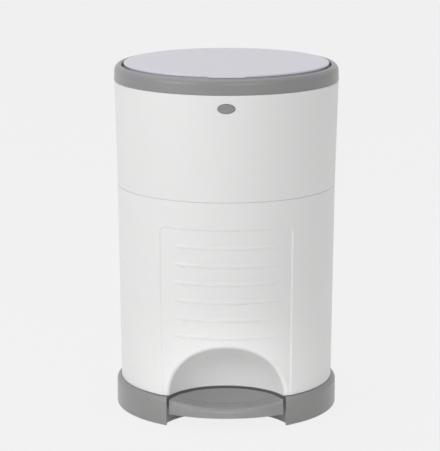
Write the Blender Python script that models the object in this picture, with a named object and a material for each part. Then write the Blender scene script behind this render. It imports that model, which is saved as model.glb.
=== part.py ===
"""Pedal nappy bin: a round plastic tub with a lift-up lid ring, a self-closing trap and an emptying door.

Metres, +Z up. The floor is z = 0, the tub's axis is the Z axis and the front faces -Y.
Stepping on the pedal lifts a rod behind the tub's back wall, and the rod pushes the lid open through a cam.
"""

import math

import bmesh
import bpy
from mathutils import Matrix, Vector

# Shared clearances
SEAT_GAP = 0.0003
RUNNING_GAP = 0.0004
OVERRUN = 0.010
MERGE = 0.000001

# Smoothness of the round pieces
TUB_STEPS = 54
INNER_STEPS = 36
ROD_STEPS = 14
PIN_STEPS = 10
ROUND_STEPS = 4
ARC_STEPS = 21
DOME_STEPS = 44
DOME_ROWS = 20
FULL_TURN = 360.0
SHARP_ANGLE = math.radians(30.0)

# The tub: heights from the floor, and outer radii of its gently flared side
WALL = 0.0026
BASE_TOP = 0.0388
SEAM_HEIGHT = 0.3044
SEAM_GROOVE = 0.0010
RIM_HEIGHT = 0.4440
RIM_RADIUS = 0.1494
UPPER_FLARE = 0.0036
LOWER_FLARE = 0.00315
SEAM_RADIUS = RIM_RADIUS - UPPER_FLARE
BODY_FOOT_RADIUS = SEAM_RADIUS - LOWER_FLARE
TONGUE_RISE = 0.0007
TONGUE_WALL = 0.0012

# Base
BASE_PROUD = 0.00615
BASE_RADIUS = BODY_FOOT_RADIUS + BASE_PROUD
BASE_CLEARANCE = 0.0023
BASE_WALL = 0.0030
BASE_SHOULDER = 0.0058
BASE_FOOT_ROUND = 0.0008
BASE_FOOT_ROUND_HEIGHT = 0.0030
DECK_THICKNESS = 0.0026
FOOT_RADIUS = 0.0080
FOOT_BOSS_WALL = 0.0010
FOOT_INSET = 0.0238
FOOT_CIRCLE = BASE_RADIUS - FOOT_INSET
FOOT_AZIMUTHS = (("front_left", -52.0), ("front_right", 52.0), ("rear_left", -142.0), ("rear_right", 142.0))

# Toe recess: a round bite in the base, and a domed one in the door above it
TOE_CENTRE_OUT = 0.0022
TOE_CENTRE_Y = -BASE_RADIUS - TOE_CENTRE_OUT
SCOOP_RADIUS = 0.0827
SCOOP_HEIGHT = 0.0715
TOE_SIDE_STEP = 0.0044
TOE_BACK_STEP = 0.0033
TOE_HALF_WIDTH = SCOOP_RADIUS - TOE_SIDE_STEP
TOE_BASE_RADIUS = SCOOP_RADIUS + TOE_BACK_STEP
TOE_WALL = 0.0026

# Pedal
PEDAL_SIDE_GAP = 0.0033
PEDAL_BACK_GAP = 0.0077
PEDAL_HALF_WIDTH = TOE_HALF_WIDTH - PEDAL_SIDE_GAP
PEDAL_REAR_RADIUS = TOE_BASE_RADIUS - PEDAL_BACK_GAP
PEDAL_UNDERSIDE = 0.0173
PEDAL_FRONT_MIDDLE = 0.0310
PEDAL_FRONT_CORNER = 0.0370
PEDAL_REAR_TOP = 0.0350
PEDAL_EDGE_ROUND = 0.0035
PEDAL_WALL = 0.0028
PEDAL_TIP_WIDTH = 0.0003
PEDAL_STATIONS = 15
PEDAL_STROKE = math.radians(8.0)
AXLE_BEHIND_TOE = 0.0250
AXLE_Y = TOE_CENTRE_Y + TOE_BASE_RADIUS + AXLE_BEHIND_TOE
AXLE_Z = 0.0210
AXLE_RADIUS = 0.0030
AXLE_HALF_LENGTH = 0.0520
ARM_X = 0.0340
ARM_WIDTH = 0.0100
ARM_HEIGHT = 0.0110
ARM_SLOT_SIDE = 0.0022
ARM_SLOT_LOW = 0.0040
ARM_SLOT_HIGH = 0.0325
HUB_RADIUS = 0.0068
BRACKET_WIDTH = 0.0050
BRACKET_HALF_LENGTH = 0.0090
LEVER_THICKNESS = 0.0030
LEVER_TAIL_HALF_WIDTH = 0.0090
LEVER_TAIL_LENGTH = 0.0080
LEVER_TAIL_TOP = 0.0090
LEVER_LAP = 0.0160

# Lid ring
RING_PROUD = 0.0006
RING_RADIUS = RIM_RADIUS + RING_PROUD
RING_FOOT = RIM_HEIGHT + SEAT_GAP
RING_HEIGHT = 0.0242
RING_TOP = RING_FOOT + RING_HEIGHT
RING_ROUND = 0.0085
RING_BEAD = 0.0007
RING_BEAD_HEIGHT = 0.0026
RING_RIM_WIDTH = 0.0103
RING_MOUTH = RING_RADIUS - RING_RIM_WIDTH
RING_LIP_ROUND = 0.0008
LEDGE_DEPTH = 0.0100
LEDGE_WIDTH = 0.0107
LEDGE_TOP = RING_TOP - LEDGE_DEPTH
LEDGE_BORE = RING_MOUTH - LEDGE_WIDTH
SPIGOT_CLEARANCE = 0.0010
SPIGOT_DEPTH = 0.0060
SPIGOT_FOOT = RIM_HEIGHT - SPIGOT_DEPTH

# Hinge that tips the lid ring back
RING_HINGE_OUT = 0.0016
RING_HINGE_RISE = 0.0015
RING_HINGE_Y = RING_RADIUS + RING_HINGE_OUT
RING_HINGE_Z = RIM_HEIGHT + RING_HINGE_RISE
RING_HINGE_RADIUS = 0.0032
RING_PIN_RADIUS = 0.0014
RING_KNUCKLE_HALF_WIDTH = 0.0240
TUB_KNUCKLE_INNER = 0.0246
TUB_KNUCKLE_OUTER = 0.0420
TUB_KNUCKLE_WEB = 0.0160

# Lid
LID_GAP = 0.0027
LID_RADIUS = RING_MOUTH - LID_GAP
LID_CROWN_DROP = 0.0009
LID_EDGE_DROP = 0.0027
LID_EDGE_HEIGHT = 0.0046
LID_CROWN = RING_TOP - LID_CROWN_DROP
LID_EDGE_TOP = RING_TOP - LID_EDGE_DROP
LID_EDGE_FOOT = LID_EDGE_TOP - LID_EDGE_HEIGHT
LID_EDGE_ROUND = 0.0016
LID_CROWN_SHARE = 0.67
LID_SKIRT = 0.0024
LID_THICKNESS = 0.0028
LID_HINGE_IN = 0.0050
LID_HINGE_DROP = 0.0043
LID_HINGE_Y = LID_RADIUS - LID_HINGE_IN
LID_HINGE_Z = LID_EDGE_TOP - LID_HINGE_DROP
LID_OPENING = math.radians(75.0)
LID_PIN_RADIUS = 0.0012
LID_KNUCKLE_RADIUS = 0.0034
LID_KNUCKLE_X = 0.0250
LID_KNUCKLE_WIDTH = 0.0120
HINGE_POCKET_HALF_WIDTH = 0.0320
HINGE_LUG_WIDTH = 0.0050
HINGE_LUG_RADIUS = 0.0026
HINGE_RELIEF_DEPTH = 0.0045
HINGE_RELIEF_HALF_ANGLE = 29.0
HINGE_RELIEF_STEPS = 15
CAM_WIDTH = 0.0060
CAM_CLEARANCE = 0.0005
CAM_STEPS = 14
SEAL_INSET = 0.0004
SEAL_RADIUS = LID_RADIUS - LID_SKIRT - SEAL_INSET
SEAL_WIDTH = 0.0030
SEAL_HEIGHT = 0.0044

# Push rod behind the liner, with its guides and cover: its distance from the lid's hinge gives the lid's turn
# the same rate all the way
ROD_Y = (LID_HINGE_Y * LID_OPENING + AXLE_Y * math.sin(PEDAL_STROKE)) / (LID_OPENING + math.sin(PEDAL_STROKE))
ROD_RADIUS = 0.0025
ROD_GUIDE_RADIUS = 0.0032
ROD_GUIDE_WALL = 0.0022
ROD_GUIDE_HEIGHT = 0.0120
ROD_TOP = LID_HINGE_Z + SEAT_GAP
COVER_HALF_WIDTH = 0.0140
COVER_WALL = 0.0020
COVER_FRONT_Y = ROD_Y - ROD_GUIDE_RADIUS - ROD_GUIDE_WALL - RUNNING_GAP - COVER_WALL

# Emptying door: the front of the lower tub, hinged at its left edge
DOOR_HALF_ANGLE = 84.0
DOOR_FOOT_GAP = 0.0007
DOOR_HINGE_DEPTH = 0.0022
DOOR_PIN_RADIUS = 0.0013
DOOR_PIN_LENGTH = 0.0028
DOOR_HINGE_GROOVE = 0.0030
DOOR_LATCH_GROOVE = 0.0007
DOOR_STEPS = 40
PANEL_HALF_ANGLE = 36.5
PANEL_TOP_DROP = 0.0357
PANEL_TOP = SEAM_HEIGHT - PANEL_TOP_DROP
PANEL_CORNER = 0.0080
PANEL_DEPTH = 0.0016
PANEL_DRAFT = 0.0018
PANEL_STEPS = 22
CORNER_STEPS = 5
RIB_LOWEST = 0.1244
RIB_PITCH = 0.0240
RIB_COUNT = 6
RIB_HALF_ANGLE = 28.0
RIB_HEIGHT = 0.0054
RIB_RISE = 0.0015
RIB_STATIONS = 12
RIB_ROUND_STEPS = 4
RIB_END_POWER = 8
CATCH_WIDTH = 0.0120
CATCH_HEIGHT = 0.0260
CATCH_THICKNESS = 0.0020
CATCH_REACH = 0.0060
CATCH_Z = 0.1720
CATCH_STEPS = 6

# Upper tub
FLANGE_DEPTH = 0.0130
FLANGE_THICKNESS = 0.0026
SHELF_RIB_DEPTH = 0.0040
SHELF_RIB_HEIGHT = 0.0030
SHELF_HEIGHT_SHARE = 0.52722
SHELF_Z = SEAM_HEIGHT + SHELF_HEIGHT_SHARE * (RIM_HEIGHT - SEAM_HEIGHT)
SHELF_THICKNESS = 0.0030
SHELF_COLLAR_HEIGHT = 0.0110
SHELF_COLLAR_WALL = 0.0020

# Refill cassette
CASSETTE_INSET = 0.0085
CASSETTE_BREADTH = 0.0240
CASSETTE_RADIUS = ROD_Y - CASSETTE_INSET
CASSETTE_BORE = CASSETTE_RADIUS - CASSETTE_BREADTH
CASSETTE_HEIGHT_SHARE = 0.72727
CASSETTE_HEIGHT = CASSETTE_HEIGHT_SHARE * (RIM_HEIGHT - SHELF_Z)
CASSETTE_WALL = 0.0020
CASSETTE_LIP = 0.0060
SHELF_LAP = 0.0030
SHELF_BORE = CASSETTE_BORE + SHELF_LAP

# Funnel and trap under the lid
FUNNEL_WALL = 0.0024
FUNNEL_FLANGE_DROP = 0.0083
FUNNEL_DEPTH = 0.0116
FUNNEL_FLANGE_WIDTH = 0.0229
FUNNEL_SLOPE_WIDTH = 0.0360
FUNNEL_FLANGE_TOP = LEDGE_TOP - FUNNEL_FLANGE_DROP
FUNNEL_FOOT_TOP = FUNNEL_FLANGE_TOP - FUNNEL_DEPTH
FUNNEL_RADIUS = RIM_RADIUS - 2 * WALL - SPIGOT_CLEARANCE - SEAT_GAP
FUNNEL_SLOPE_TOP_RADIUS = FUNNEL_RADIUS - FUNNEL_FLANGE_WIDTH
FUNNEL_SLOPE_FOOT_RADIUS = FUNNEL_SLOPE_TOP_RADIUS - FUNNEL_SLOPE_WIDTH
FUNNEL_SLOT_HALF_LENGTH = 0.0062
FUNNEL_SLOT_HALF_WIDTH = 0.0042
THROAT_SIDE_STEP = 0.0270
THROAT_FRONT_STEP = 0.0330
THROAT_DEPTH = 0.0156
THROAT_HALF_X = FUNNEL_SLOPE_FOOT_RADIUS - THROAT_SIDE_STEP
THROAT_HALF_Y = FUNNEL_SLOPE_FOOT_RADIUS - THROAT_FRONT_STEP
THROAT_CORNER = 0.0060
THROAT_WALL = 0.0024
THROAT_FOOT = FUNNEL_FOOT_TOP - THROAT_DEPTH
FLAP_HINGE_IN = 0.0040
FLAP_HINGE_DROP = 0.0071
FLAP_HINGE_X = THROAT_HALF_X - FLAP_HINGE_IN
FLAP_HINGE_Z = FUNNEL_FOOT_TOP - FLAP_HINGE_DROP
FLAP_BARREL_RADIUS = 0.0024
FLAP_THICKNESS = 0.0020
FLAP_SIDE_GAP = 0.0020
FLAP_MEETING_GAP = 0.0004
FLAP_PIN_RADIUS = 0.0012

# Release button and its latch
BUTTON_DROP = 0.0171
BUTTON_Z = RIM_HEIGHT - BUTTON_DROP
BUTTON_HALF_WIDTH = 0.01115
BUTTON_HALF_HEIGHT = 0.00605
BUTTON_PROUD = 0.0006
BUTTON_DEPTH = 0.0052
BUTTON_RIM = 0.0022
BUTTON_DISH = 0.0007
BUTTON_DISH_FLARE = 0.0009
BUTTON_FLANGE_WIDER = 0.0018
BUTTON_FLANGE_DEPTH = 0.0014
BUTTON_STEPS = 26
LATCH_STEM_HALF_WIDTH = 0.0040
LATCH_STEM_THICKNESS = 0.0026
LATCH_PLATE_IN = 0.0164
LATCH_PLATE_Y = LATCH_PLATE_IN - RIM_RADIUS
LATCH_PLATE_THICKNESS = 0.0024
LATCH_PLATE_HEIGHT = 0.0120
LATCH_HOOK_LENGTH = 0.0014
LATCH_HOOK_HEIGHT = 0.0024
STRIKE_HALF_WIDTH = 0.0080
STRIKE_IN = 0.0108
STRIKE_Y = STRIKE_IN - RIM_RADIUS
STRIKE_THICKNESS = 0.0020
STRIKE_DROP = 0.0126
STRIKE_FOOT = SPIGOT_FOOT - STRIKE_DROP
STRIKE_LIP = 0.0013
STRIKE_LIP_HEIGHT = 0.0020
STRIKE_WEB_HEIGHT = 0.0036
HOUSING_INNER_HALF_WIDTH = 0.0150
HOUSING_WALL = 0.0020
HOUSING_BACK_IN = 0.0274
HOUSING_BACK_Y = HOUSING_BACK_IN - RIM_RADIUS
HOUSING_HALF_HEIGHT = 0.0090
BUTTON_SPRING_RADIUS = 0.0030
BUTTON_SPRING_TURNS = 5
SPRING_WIRE = 0.0004
SPRING_TURN_STEPS = 8
WIRE_SIDES = 6

# Liner cutter on the door's inside
CUTTER_DROP = 0.0234
CUTTER_Z = SEAM_HEIGHT - CUTTER_DROP
CUTTER_HALF_WIDTH = 0.0240
CUTTER_HEIGHT = 0.0150
CUTTER_DEPTH = 0.0120
CUTTER_MOUTH = 0.0030
BLADE_THICKNESS = 0.0006
BLADE_HALF_WIDTH = 0.0180

WHITE = (0.86, 0.86, 0.87, 1.0)
LID_WHITE = (0.78, 0.78, 0.82, 1.0)
INNER_WHITE = (0.80, 0.80, 0.80, 1.0)
GREY = (0.30, 0.30, 0.29, 1.0)
RUBBER_GREY = (0.06, 0.06, 0.06, 1.0)
STEEL = (0.62, 0.62, 0.64, 1.0)


def material(name, colour, roughness, metallic=0.0):
    """A plain surface of one colour."""
    made = bpy.data.materials.new(name)
    made.use_nodes = True
    shader = made.node_tree.nodes["Principled BSDF"]
    shader.inputs["Base Color"].default_value = colour
    shader.inputs["Roughness"].default_value = roughness
    shader.inputs["Metallic"].default_value = metallic
    return made


def add_object(name, mesh, surface=None, axis_empty=None):
    """An object from a bmesh in world places, carried by its joint's empty if it moves."""
    bmesh.ops.remove_doubles(mesh, verts=mesh.verts, dist=MERGE)
    bmesh.ops.recalc_face_normals(mesh, faces=mesh.faces)
    data = bpy.data.meshes.new(name)
    mesh.to_mesh(data)
    mesh.free()
    data.shade_smooth()
    data.set_sharp_from_angle(angle=SHARP_ANGLE)
    made = bpy.data.objects.new(name, data)
    bpy.context.collection.objects.link(made)
    if surface is not None:
        data.materials.append(surface)
    if axis_empty is not None:
        made.parent = axis_empty
        made.location = -axis_empty.location
    return made


def add_axis(name, place):
    """An empty on a joint's axis."""
    made = bpy.data.objects.new(name, None)
    made.location = place
    bpy.context.collection.objects.link(made)
    return made


def add_tool(name, mesh):
    """A shape that only cuts, joins or bounds another one."""
    made = add_object(name, mesh)
    made.hide_render = True
    made.display_type = "WIRE"
    return made


def combine(target, tool, operation):
    """Joins, cuts or bounds an object by a tool shape."""
    modifier = target.modifiers.new(f"{operation.lower()} {tool.name}", "BOOLEAN")
    modifier.operation = operation
    modifier.object = tool
    modifier.solver = "EXACT"


def join(target, name, mesh):
    combine(target, add_tool(name, mesh), "UNION")


def cut(target, name, mesh):
    combine(target, add_tool(name, mesh), "DIFFERENCE")


def keep_inside(target, name, mesh):
    combine(target, add_tool(name, mesh), "INTERSECT")


def polar(radius, azimuth, height=0.0):
    """A point at an azimuth in degrees from the front, positive toward +X."""
    angle = math.radians(azimuth)
    return Vector((radius * math.sin(angle), -radius * math.cos(angle), height))


def turned(profile, steps=TUB_STEPS, start=None, sweep=FULL_TURN):
    """A profile of (radius, height) points turned about Z from an azimuth, through a sweep.

    A full turn starts half a step off the front, so that no edge lies on the plane of symmetry.
    """
    mesh = bmesh.new()
    if start is None:
        start = sweep / steps / 2
    face = mesh.faces.new([mesh.verts.new(polar(radius, start, height)) for radius, height in profile])
    whole = sweep >= FULL_TURN
    if whole:
        bmesh.ops.delete(mesh, geom=[face], context="FACES_ONLY")
    bmesh.ops.spin(
        mesh,
        geom=[*mesh.verts, *mesh.edges, *mesh.faces],
        cent=(0, 0, 0),
        axis=(0, 0, 1),
        angle=math.radians(sweep),
        steps=steps,
        use_merge=whole,
    )
    bmesh.ops.remove_doubles(mesh, verts=mesh.verts, dist=MERGE)
    bmesh.ops.dissolve_degenerate(mesh, edges=mesh.edges, dist=MERGE)
    loose = [edge for edge in mesh.edges if not edge.link_faces]
    bmesh.ops.delete(mesh, geom=loose, context="EDGES")
    return mesh


def extruded(outline, low, high):
    """An outline of (x, y) points raised from one height to another."""
    mesh = bmesh.new()
    floor = mesh.faces.new([mesh.verts.new((x, y, low)) for x, y in outline])
    raised = bmesh.ops.extrude_face_region(mesh, geom=[floor])["geom"]
    corners = [item for item in raised if isinstance(item, bmesh.types.BMVert)]
    bmesh.ops.translate(mesh, verts=corners, vec=(0, 0, high - low))
    return mesh


def lofted(sections):
    """A solid through a list of sections that all have the same number of points."""
    mesh = bmesh.new()
    rings = [[mesh.verts.new(point) for point in section] for section in sections]
    for near, far in zip(rings, rings[1:]):
        for i in range(len(near)):
            j = (i + 1) % len(near)
            mesh.faces.new((near[i], near[j], far[j], far[i]))
    mesh.faces.new(rings[0])
    mesh.faces.new(rings[-1])
    return mesh


def block(low, high):
    """A box between two corners."""
    outline = ((low[0], low[1]), (high[0], low[1]), (high[0], high[1]), (low[0], high[1]))
    return extruded(outline, low[2], high[2])


def rod(start, end, radius, steps=PIN_STEPS):
    """A round bar between two points."""
    start, end = Vector(start), Vector(end)
    mesh = bmesh.new()
    turn = (end - start).to_track_quat("Z", "Y").to_matrix().to_4x4()
    place = Matrix.Translation((start + end) / 2) @ turn
    bmesh.ops.create_cone(
        mesh,
        cap_ends=True,
        segments=steps,
        radius1=radius,
        radius2=radius,
        depth=(end - start).length,
        matrix=place,
    )
    return mesh


def bar_x(near, far, y, z, radius, steps=PIN_STEPS):
    """A round bar along X."""
    return rod((near, y, z), (far, y, z), radius, steps)


def bar_y(near, far, x, z, radius, steps=PIN_STEPS):
    """A round bar along Y."""
    return rod((x, near, z), (x, far, z), radius, steps)


def upright(x, y, low, high, radius, steps=ROD_STEPS):
    """A round bar along Z."""
    return rod((x, y, low), (x, y, high), radius, steps)


def band(outer, inner, low, high):
    """A ring's square section, as a profile to turn."""
    return [(inner, low), (outer, low), (outer, high), (inner, high)]


def lower_radius(height):
    """Outer radius of the lower tub at a height."""
    share = (height - BASE_TOP) / (SEAM_HEIGHT - BASE_TOP)
    return BODY_FOOT_RADIUS + share * (SEAM_RADIUS - BODY_FOOT_RADIUS)


def upper_radius(height):
    """Outer radius of the upper tub at a height."""
    share = (height - SEAM_HEIGHT) / (RIM_HEIGHT - SEAM_HEIGHT)
    return SEAM_RADIUS + share * (RIM_RADIUS - SEAM_RADIUS)


LOWER_FOOT = BASE_TOP + SEAT_GAP
DOOR_FOOT = BASE_TOP + DOOR_FOOT_GAP
LOWER_TOP = SEAM_HEIGHT - SEAM_GROOVE / 2
UPPER_FOOT = SEAM_HEIGHT + SEAM_GROOVE / 2
DECK_FOOT = BASE_TOP - DECK_THICKNESS
LUG_START = HINGE_POCKET_HALF_WIDTH + SEAT_GAP
LUG_END = LUG_START + HINGE_LUG_WIDTH


def arc(centre, radius, start, end, steps):
    """Points of a round stretch, by angles in degrees."""
    points = []
    for i in range(steps + 1):
        angle = math.radians(start + (end - start) * i / steps)
        points.append((centre[0] + radius * math.cos(angle), centre[1] + radius * math.sin(angle)))
    return points


def toe_outline(half_width, radius, front):
    """Plan of the toe recess: straight sides from the front, and a round back."""
    reach = math.degrees(math.acos(half_width / radius))
    back = arc((0.0, TOE_CENTRE_Y), radius, reach, 180.0 - reach, ARC_STEPS)
    return [(-half_width, front), (half_width, front), *back]


def door_hinge_point(height):
    """A point of the door's hinge line, which leans with the tub's side."""
    return polar(lower_radius(height) - DOOR_HINGE_DEPTH, -DOOR_HALF_ANGLE, height)


def make_base(surface):
    """The foot ring and floor of the bin, open at the front for the pedal."""
    corner = (BASE_RADIUS - BASE_SHOULDER, BASE_TOP - BASE_SHOULDER)
    inner = BASE_RADIUS - BASE_WALL
    profile = [
        (BASE_RADIUS - BASE_FOOT_ROUND, BASE_CLEARANCE),
        (BASE_RADIUS, BASE_CLEARANCE + BASE_FOOT_ROUND_HEIGHT),
        *arc(corner, BASE_SHOULDER, 0.0, 90.0, ROUND_STEPS),
        (0.0, BASE_TOP),
        (0.0, DECK_FOOT),
        (inner - DECK_THICKNESS, DECK_FOOT),
        (inner, DECK_FOOT - DECK_THICKNESS),
        (inner, BASE_CLEARANCE),
    ]
    base = add_object("base", turned(profile), surface)
    in_deck = DECK_FOOT + DECK_THICKNESS / 2
    walls = toe_outline(TOE_HALF_WIDTH + TOE_WALL, TOE_BASE_RADIUS + TOE_WALL, -BASE_RADIUS)
    wall_tool = add_tool("toe wall", extruded(walls, BASE_CLEARANCE, in_deck))
    keep_inside(wall_tool, "toe wall bound", turned(band(BASE_RADIUS - BASE_WALL / 2, 0.0, 0.0, BASE_TOP)))
    combine(base, wall_tool, "UNION")
    for corner_name, azimuth in FOOT_AZIMUTHS:
        place = polar(FOOT_CIRCLE, azimuth)
        boss = upright(place.x, place.y, BASE_CLEARANCE, in_deck, FOOT_RADIUS + FOOT_BOSS_WALL)
        join(base, f"foot boss {corner_name}", boss)
    for side in (-1, 1):
        inner_x = side * (ARM_X + ARM_WIDTH / 2 + AXLE_RADIUS)
        near, far = sorted((inner_x, inner_x + side * BRACKET_WIDTH))
        low = (near, AXLE_Y - BRACKET_HALF_LENGTH, AXLE_Z - HUB_RADIUS)
        high = (far, AXLE_Y + BRACKET_HALF_LENGTH, in_deck)
        join(base, f"axle bracket {side}", block(low, high))
    guide_top = BASE_TOP + ROD_GUIDE_HEIGHT
    join(base, "rod guide", upright(0.0, ROD_Y, in_deck, guide_top, ROD_GUIDE_RADIUS + ROD_GUIDE_WALL))
    bite = toe_outline(TOE_HALF_WIDTH, TOE_BASE_RADIUS, -BASE_RADIUS - OVERRUN)
    cut(base, "toe cut", extruded(bite, -OVERRUN, BASE_TOP + OVERRUN))
    for side in (-1, 1):
        middle = side * ARM_X
        half = ARM_WIDTH / 2 + ARM_SLOT_SIDE
        slot_low = (middle - half, TOE_CENTRE_Y + PEDAL_REAR_RADIUS / 2, ARM_SLOT_LOW)
        slot_high = (middle + half, AXLE_Y - HUB_RADIUS, ARM_SLOT_HIGH)
        cut(base, f"arm slot {side}", block(slot_low, slot_high))
    axle_end = AXLE_HALF_LENGTH + OVERRUN
    cut(base, "axle hole", bar_x(-axle_end, axle_end, AXLE_Y, AXLE_Z, AXLE_RADIUS + SEAT_GAP, ROD_STEPS))
    cut(base, "rod hole", upright(0.0, ROD_Y, 0.0, guide_top + OVERRUN, ROD_GUIDE_RADIUS))
    pin_low = door_hinge_point(DECK_FOOT - DECK_THICKNESS)
    pin_high = door_hinge_point(BASE_TOP + OVERRUN)
    cut(base, "door pin hole", rod(pin_low, pin_high, DOOR_PIN_RADIUS + RUNNING_GAP))
    return base


def make_feet(surface):
    """Rubber feet under the base."""
    for corner_name, azimuth in FOOT_AZIMUTHS:
        place = polar(FOOT_CIRCLE, azimuth)
        foot = upright(place.x, place.y, 0.0, BASE_CLEARANCE - SEAT_GAP, FOOT_RADIUS)
        add_object(f"foot_{corner_name}", foot, surface)


def front_y(x):
    """The base's front arc at a sideways place."""
    return -math.sqrt(BASE_RADIUS**2 - x**2)


def pedal_rear_y(x):
    """The pedal's round rear edge at a sideways place."""
    return TOE_CENTRE_Y + math.sqrt(PEDAL_REAR_RADIUS**2 - x**2)


def pedal_section(x, side_inset, floor, top_drop):
    """A cut through the pedal pad along Y: front face, rounded nose, dished top and round back."""
    near = front_y(x) + side_inset
    far = max(pedal_rear_y(x) - side_inset, near + PEDAL_TIP_WIDTH)
    across = (x / PEDAL_HALF_WIDTH) ** 2
    nose = PEDAL_FRONT_MIDDLE + (PEDAL_FRONT_CORNER - PEDAL_FRONT_MIDDLE) * across - top_drop
    back = PEDAL_REAR_TOP + (PEDAL_FRONT_CORNER - PEDAL_REAR_TOP) * across - top_drop
    bend = min(PEDAL_EDGE_ROUND, (far - near) / 2)
    points = [Vector((x, near, floor))]
    for y, z in arc((near + bend, nose - bend), bend, 180.0, 90.0, ROUND_STEPS):
        points.append(Vector((x, y, z)))
    middle = (near + far) / 2
    points.append(Vector((x, middle, (nose + back) / 2)))
    points.append(Vector((x, far, back)))
    points.append(Vector((x, far, floor)))
    return points


def pedal_stations(half_width):
    """Places across the pedal, closer together toward its tips."""
    turns = [math.pi * (i / PEDAL_STATIONS - 1 / 2) for i in range(PEDAL_STATIONS + 1)]
    return [half_width * math.sin(turn) for turn in turns]


def make_pedal(surface, axis):
    """The foot pad with its two arms and hubs."""
    outside = [pedal_section(x, 0.0, PEDAL_UNDERSIDE, 0.0) for x in pedal_stations(PEDAL_HALF_WIDTH)]
    pedal = add_object("pedal", lofted(outside), surface, axis)
    hollow_tip = ARM_X + ARM_WIDTH / 2 + ARM_WIDTH
    hollow_foot = PEDAL_UNDERSIDE - OVERRUN
    hollow = [pedal_section(x, PEDAL_WALL, hollow_foot, PEDAL_WALL) for x in pedal_stations(hollow_tip)]
    cut(pedal, "pad hollow", lofted(hollow))
    for side in (-1, 1):
        left = side * ARM_X - ARM_WIDTH / 2
        right = side * ARM_X + ARM_WIDTH / 2
        start = pedal_rear_y(ARM_X + ARM_WIDTH / 2) - PEDAL_WALL
        low = (left, start, AXLE_Z - ARM_HEIGHT / 2)
        high = (right, AXLE_Y + LEVER_LAP, AXLE_Z + ARM_HEIGHT / 2)
        join(pedal, f"arm {side}", block(low, high))
        join(pedal, f"hub {side}", bar_x(left, right, AXLE_Y, AXLE_Z, HUB_RADIUS, ROD_STEPS))
    reach = ARM_X + ARM_WIDTH
    cut(pedal, "hub bore", bar_x(-reach, reach, AXLE_Y, AXLE_Z, AXLE_RADIUS + RUNNING_GAP, ROD_STEPS))
    return pedal


def make_lever(surface, axis):
    """The steel lever under the floor, from the pedal's arms back to the push rod."""
    front_top = AXLE_Z - max(HUB_RADIUS, ARM_HEIGHT / 2) - SEAT_GAP
    front_half = ARM_X + ARM_WIDTH / 2
    tail = ROD_Y + LEVER_TAIL_LENGTH
    rows = (
        (AXLE_Y - HUB_RADIUS, front_half, front_top),
        (AXLE_Y + LEVER_LAP, front_half, front_top),
        (AXLE_Y + 2 * LEVER_LAP, 2 * LEVER_TAIL_HALF_WIDTH, front_top - SEAT_GAP),
        (ROD_Y - LEVER_TAIL_LENGTH, LEVER_TAIL_HALF_WIDTH, LEVER_TAIL_TOP),
        (tail, LEVER_TAIL_HALF_WIDTH, LEVER_TAIL_TOP),
    )
    sections = []
    for y, half, top in rows:
        foot = top - LEVER_THICKNESS
        corners = ((-half, foot), (half, foot), (half, top), (-half, top))
        sections.append([Vector((x, y, z)) for x, z in corners])
    return add_object("pedal_lever", lofted(sections), surface, axis)


def make_axle(surface):
    """The steel bar that the pedal turns on."""
    axle = bar_x(-AXLE_HALF_LENGTH, AXLE_HALF_LENGTH, AXLE_Y, AXLE_Z, AXLE_RADIUS, ROD_STEPS)
    return add_object("pedal_axle", axle, surface)


def make_push_rod(surface, axis):
    """The upright rod with domed ends."""
    foot = LEVER_TAIL_TOP + SEAT_GAP
    low_dome = arc((0.0, foot + ROD_RADIUS), ROD_RADIUS, -90.0, 0.0, ROUND_STEPS)
    high_dome = arc((0.0, ROD_TOP - ROD_RADIUS), ROD_RADIUS, 0.0, 90.0, ROUND_STEPS)
    profile = [(0.0, foot), *low_dome[1:], *high_dome[:-1], (0.0, ROD_TOP)]
    mesh = turned(profile, ROD_STEPS)
    bmesh.ops.translate(mesh, verts=mesh.verts, vec=(0, ROD_Y, 0))
    return add_object("push_rod", mesh, surface, axis)


def make_rod_cover(surface):
    """A channel on the back wall that keeps the liner off the push rod."""
    low = BASE_TOP + SEAT_GAP
    high = SHELF_Z - SHELF_THICKNESS - RUNNING_GAP
    outer = COVER_HALF_WIDTH
    inner = outer - COVER_WALL
    wall_y = lower_radius(low) * math.cos(outer / lower_radius(low)) - WALL - SEAT_GAP
    outline = (
        (-outer, COVER_FRONT_Y),
        (outer, COVER_FRONT_Y),
        (outer, wall_y),
        (inner, wall_y),
        (inner, COVER_FRONT_Y + COVER_WALL),
        (-inner, COVER_FRONT_Y + COVER_WALL),
        (-inner, wall_y),
        (-outer, wall_y),
    )
    cover = add_object("rod_cover", extruded(outline, low, high), surface)
    flange_in = SEAM_RADIUS - FLANGE_DEPTH - SEAT_GAP
    flange_top = UPPER_FOOT + FLANGE_THICKNESS + SEAT_GAP
    cut(cover, "flange notch", turned(band(SEAM_RADIUS, flange_in, UPPER_FOOT - SEAT_GAP, flange_top)))
    return cover


def lower_wall_profile(foot, top):
    """The lower tub's wall, with a thin tongue at its top that the upper tub sits over."""
    return [
        (lower_radius(foot) - WALL, foot),
        (lower_radius(foot), foot),
        (lower_radius(top), top),
        (lower_radius(top) - WALL + TONGUE_WALL, top),
        (lower_radius(top) - WALL + TONGUE_WALL, top + TONGUE_RISE),
        (lower_radius(top) - WALL, top + TONGUE_RISE),
    ]


def make_rear_shell(surface):
    """The back half of the lower tub, which stands on the base and carries the upper tub."""
    groove = math.degrees(DOOR_HINGE_GROOVE / BODY_FOOT_RADIUS)
    gap = math.degrees(DOOR_LATCH_GROOVE / BODY_FOOT_RADIUS)
    start = DOOR_HALF_ANGLE + gap
    sweep = FULL_TURN - 2 * DOOR_HALF_ANGLE - groove - gap
    wall = turned(lower_wall_profile(LOWER_FOOT, LOWER_TOP), DOOR_STEPS, start, sweep)
    return add_object("rear_shell", wall, surface)


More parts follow.
